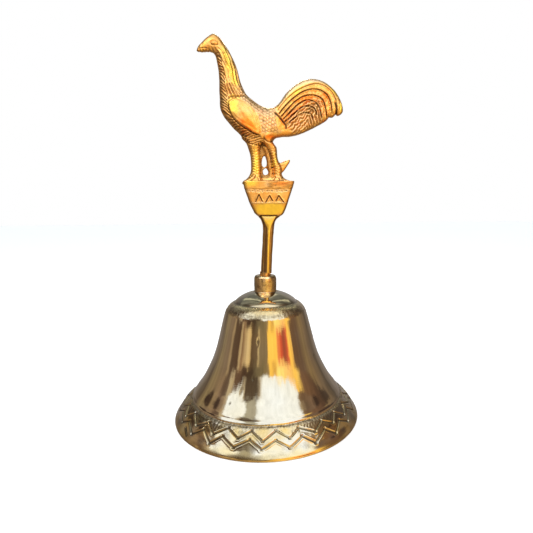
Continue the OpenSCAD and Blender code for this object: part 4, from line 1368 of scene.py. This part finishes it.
SKY = (1.22, 1.48, 1.98)
WARM = (1.45, 1.02, 0.24)
rows = [
    # below the horizon: what a warm table would give back
    (-90, -90, [(-180, (0.26, 0.25, 0.22)), (-110, (0.13, 0.11, 0.085)), (-75, (0.26, 0.20, 0.13)), (-40, (0.46, 0.36, 0.24)),
                (-10, (0.85, 0.68, 0.38)), (25, (1.30, 1.02, 0.46)), (60, (1.0, 0.74, 0.32)), (85, (0.36, 0.25, 0.14)),
                (115, (0.13, 0.105, 0.08)), (180, (0.26, 0.25, 0.22))]),
    # level: dark room with narrow bright gaps, a warm card right of centre
    (-9, 0, [(-180, (0.36, 0.37, 0.36)), (-131, (0.10, 0.085, 0.07)), (-118, (0.32, 0.28, 0.20)),
             (-98, (0.22, 0.18, 0.135)), (-91, (0.20, 0.165, 0.12)), (-87, (0.46, 0.38, 0.28)), (-81, (0.12, 0.09, 0.065)), (-66, (0.10, 0.07, 0.05)), (-62, (0.70, 0.60, 0.44)), (-58, (0.24, 0.16, 0.10)),
             (-44, (0.88, 0.76, 0.52)), (-38, (0.80, 0.66, 0.40)), (-35, (0.17, 0.12, 0.08)), (-22, (0.22, 0.17, 0.12)),
             (-18.5, (0.95, 0.82, 0.52)), (-15, (0.32, 0.27, 0.19)), (1, (0.30, 0.25, 0.17)), (4, WARM), (23, WARM),
             (27, (1.3, 0.55, 0.22)), (33, (0.95, 0.17, 0.10)), (43, (0.42, 0.12, 0.09)), (52, (0.90, 0.20, 0.12)),
             (56, WARM), (61, (1.1, 0.74, 0.24)), (65, (0.16, 0.105, 0.065)), (84, (0.15, 0.11, 0.08)), (98, (0.30, 0.24, 0.16)),
             (112, (0.20, 0.165, 0.12)), (130, (0.10, 0.09, 0.075)), (152, (0.27, 0.27, 0.26)), (180, (0.36, 0.37, 0.36))]),
    (10, 16, [(-180, (0.26, 0.28, 0.28)), (-150, (0.14, 0.14, 0.13)), (-132, (0.045, 0.04, 0.038)), (-114, (0.05, 0.036, 0.03)),
              (-105, (0.06, 0.045, 0.035)), (-99, (0.38, 0.31, 0.23)), (-90, (0.24, 0.19, 0.14)), (-86, (0.12, 0.09, 0.07)), (-79, (0.14, 0.11, 0.085)), (-75, (0.66, 0.62, 0.52)), (-69, (0.60, 0.54, 0.44)), (-65, (0.15, 0.105, 0.075)),
              (-46, (0.08, 0.055, 0.04)), (-30, (0.10, 0.08, 0.065)), (-22, (0.22, 0.20, 0.15)), (-6, (0.28, 0.25, 0.17)),
              (3, (0.42, 0.34, 0.20)), (7, WARM), (18, (0.95, 0.62, 0.18)), (24, (1.5, 1.3, 0.50)), (48, (1.4, 0.95, 0.40)),
              (60, WARM), (66, (1.25, 0.94, 0.30)), (71, (0.20, 0.13, 0.08)), (92, (0.13, 0.085, 0.06)), (104, (0.065, 0.05, 0.043)),
              (134, (0.085, 0.08, 0.075)), (152, (0.24, 0.25, 0.25)), (180, (0.26, 0.28, 0.28))]),
    (21, 26, [(-180, (0.30, 0.34, 0.36)), (-140, (0.10, 0.11, 0.11)), (-114, (0.036, 0.028, 0.026)), (-96, (0.045, 0.032, 0.028)),
              (-89, (0.06, 0.043, 0.034)), (-85, (0.21, 0.165, 0.125)), (-77, (0.55, 0.48, 0.38)), (-73, SKY), (-52, SKY), (-46, (0.62, 0.60, 0.55)),
              (-41, (0.12, 0.095, 0.08)), (-19, (0.12, 0.10, 0.085)), (-14, (0.60, 0.58, 0.54)), (-8, SKY), (56, SKY),
              (60, (0.40, 0.32, 0.23)), (64, (0.17, 0.12, 0.08)), (82, (0.19, 0.14, 0.10)), (88, (0.055, 0.039, 0.032)), (106, (0.05, 0.037, 0.034)),
              (136, (0.07, 0.068, 0.066)), (156, (0.28, 0.30, 0.31)), (180, (0.30, 0.34, 0.36))]),
    (30, 36, [(-180, (0.95, 1.0, 0.95)), (-172, (0.80, 0.86, 0.82)), (-168, (0.14, 0.165, 0.155)), (-156, (0.12, 0.145, 0.135)), (-152, (0.70, 0.78, 0.72)),
              (-147, (0.62, 0.70, 0.64)), (-143, (0.13, 0.155, 0.14)), (-126, (0.22, 0.25, 0.22)), (-112, (0.06, 0.06, 0.05)), (-90, (0.10, 0.085, 0.07)),
              (-82, (0.30, 0.27, 0.22)), (-77, SKY), (-42, SKY), (-38, (0.55, 0.60, 0.62)), (-22, (0.50, 0.54, 0.56)), (-17, SKY), (58, SKY), (63, (0.50, 0.44, 0.34)), (69, (0.17, 0.13, 0.09)),
              (86, (0.16, 0.12, 0.085)), (112, (0.06, 0.055, 0.045)), (130, (0.13, 0.145, 0.125)), (137, (0.70, 0.76, 0.68)), (141, (0.66, 0.72, 0.64)),
              (145, (0.12, 0.14, 0.125)), (163, (0.15, 0.175, 0.16)), (168, (0.80, 0.86, 0.80)), (180, (0.95, 1.0, 0.95))]),
    (48, 66, [(-180, (0.20, 0.23, 0.20)), (-162, (0.12, 0.14, 0.12)), (-157, (0.62, 0.70, 0.66)), (-151, (0.60, 0.68, 0.64)), (-146, (0.09, 0.105, 0.09)),
              (-136, (0.14, 0.16, 0.14)), (-131, (0.50, 0.57, 0.53)), (-126, (0.14, 0.16, 0.14)), (-118, (0.10, 0.11, 0.10)), (-113, (0.42, 0.47, 0.43)), (-107, (0.13, 0.14, 0.12)),
              (-95, (0.22, 0.22, 0.18)), (-60, (1.05, 1.15, 1.2)),
              (60, (1.25, 1.35, 1.4)), (95, (0.30, 0.29, 0.23)), (106, (0.12, 0.13, 0.11)), (112, (0.50, 0.55, 0.50)), (120, (0.10, 0.11, 0.10)), (130, (0.14, 0.155, 0.135)),
              (136, (0.60, 0.66, 0.60)), (143, (0.58, 0.64, 0.58)), (148, (0.09, 0.10, 0.09)), (160, (0.16, 0.18, 0.16)), (180, (0.20, 0.23, 0.20))]),
]
env = band(rows[0][2])
for lo_, hi_, stops in rows[1:]:
    env = mix(nt, over(float(lo_), float(hi_)), env, band(stops))
lp = nt.nodes.new("ShaderNodeLightPath")
bg_env = nt.nodes.new("ShaderNodeBackground")
bg_cam = nt.nodes.new("ShaderNodeBackground")
link(nt, env, bg_env.inputs["Color"])
streak = noise(nt, 11.0, 4, 0.6, tc.outputs["Generated"], (1.0, 1.0, 0.22))
link(nt, mathn(nt, "ADD", mathn(nt, "MULTIPLY", streak, 0.6), 0.70), bg_env.inputs["Strength"])
bg_cam.inputs["Color"].default_value = (1, 1, 1, 1)
bg_cam.inputs["Strength"].default_value = 1.0
ms = nt.nodes.new("ShaderNodeMixShader")
link(nt, lp.outputs["Is Camera Ray"], ms.inputs[0])
link(nt, bg_env.outputs[0], ms.inputs[1])
link(nt, bg_cam.outputs[0], ms.inputs[2])
link(nt, ms.outputs[0], wout.inputs["Surface"])


def area(name, loc, target, size, power, color=(1, 1, 1), glossy=True, only=None):
    L = bpy.data.lights.new(name, "AREA")
    L.shape = "DISK"
    L.size = size
    L.energy = power
    L.color = color
    o = bpy.data.objects.new(name, L)
    scene.collection.objects.link(o)
    o.location = loc
    o.rotation_euler = (Vector(target) - Vector(loc)).to_track_quat("-Z", "Y").to_euler()
    o.visible_camera = False
    o.visible_glossy = glossy
    if only:
        o.light_linking.receiver_collection = only
    return o


area("key", (-0.35, -0.45, 0.75), (0, 0, 0.07), 0.5, 3.0, (1.0, 0.985, 0.96), False)
# the two lamps shine on the handle and its collar only, so the bell mirrors the room alone
lit = bpy.data.collections.new("lit_by_lamps")
for name_ in ("handle_casting_detail", "neck_collar_detail"):
    lit.objects.link(bpy.data.objects[name_])
area("lamp_left", (-0.15, -0.21, 0.30), (0.0, 0, 0.125), 0.17, 0.245, (1.0, 0.90, 0.84), True, lit)
area("lamp_right", (0.105, -0.235, 0.185), (0.0, 0, 0.12), 0.13, 0.10, (1.0, 0.88, 0.72), True, lit)
area("fill", (-0.05, -0.60, 0.36), (0.0, 0, 0.12), 0.60, 0.62, (1.0, 0.90, 0.88), True, lit)
area("back", (-0.004, 0.30, 0.345), (0, 0, 0.11), 0.10, 0.45, (1.0, 0.93, 0.82), True)

scene.view_settings.view_transform = "Standard"
scene.view_settings.look = "None"
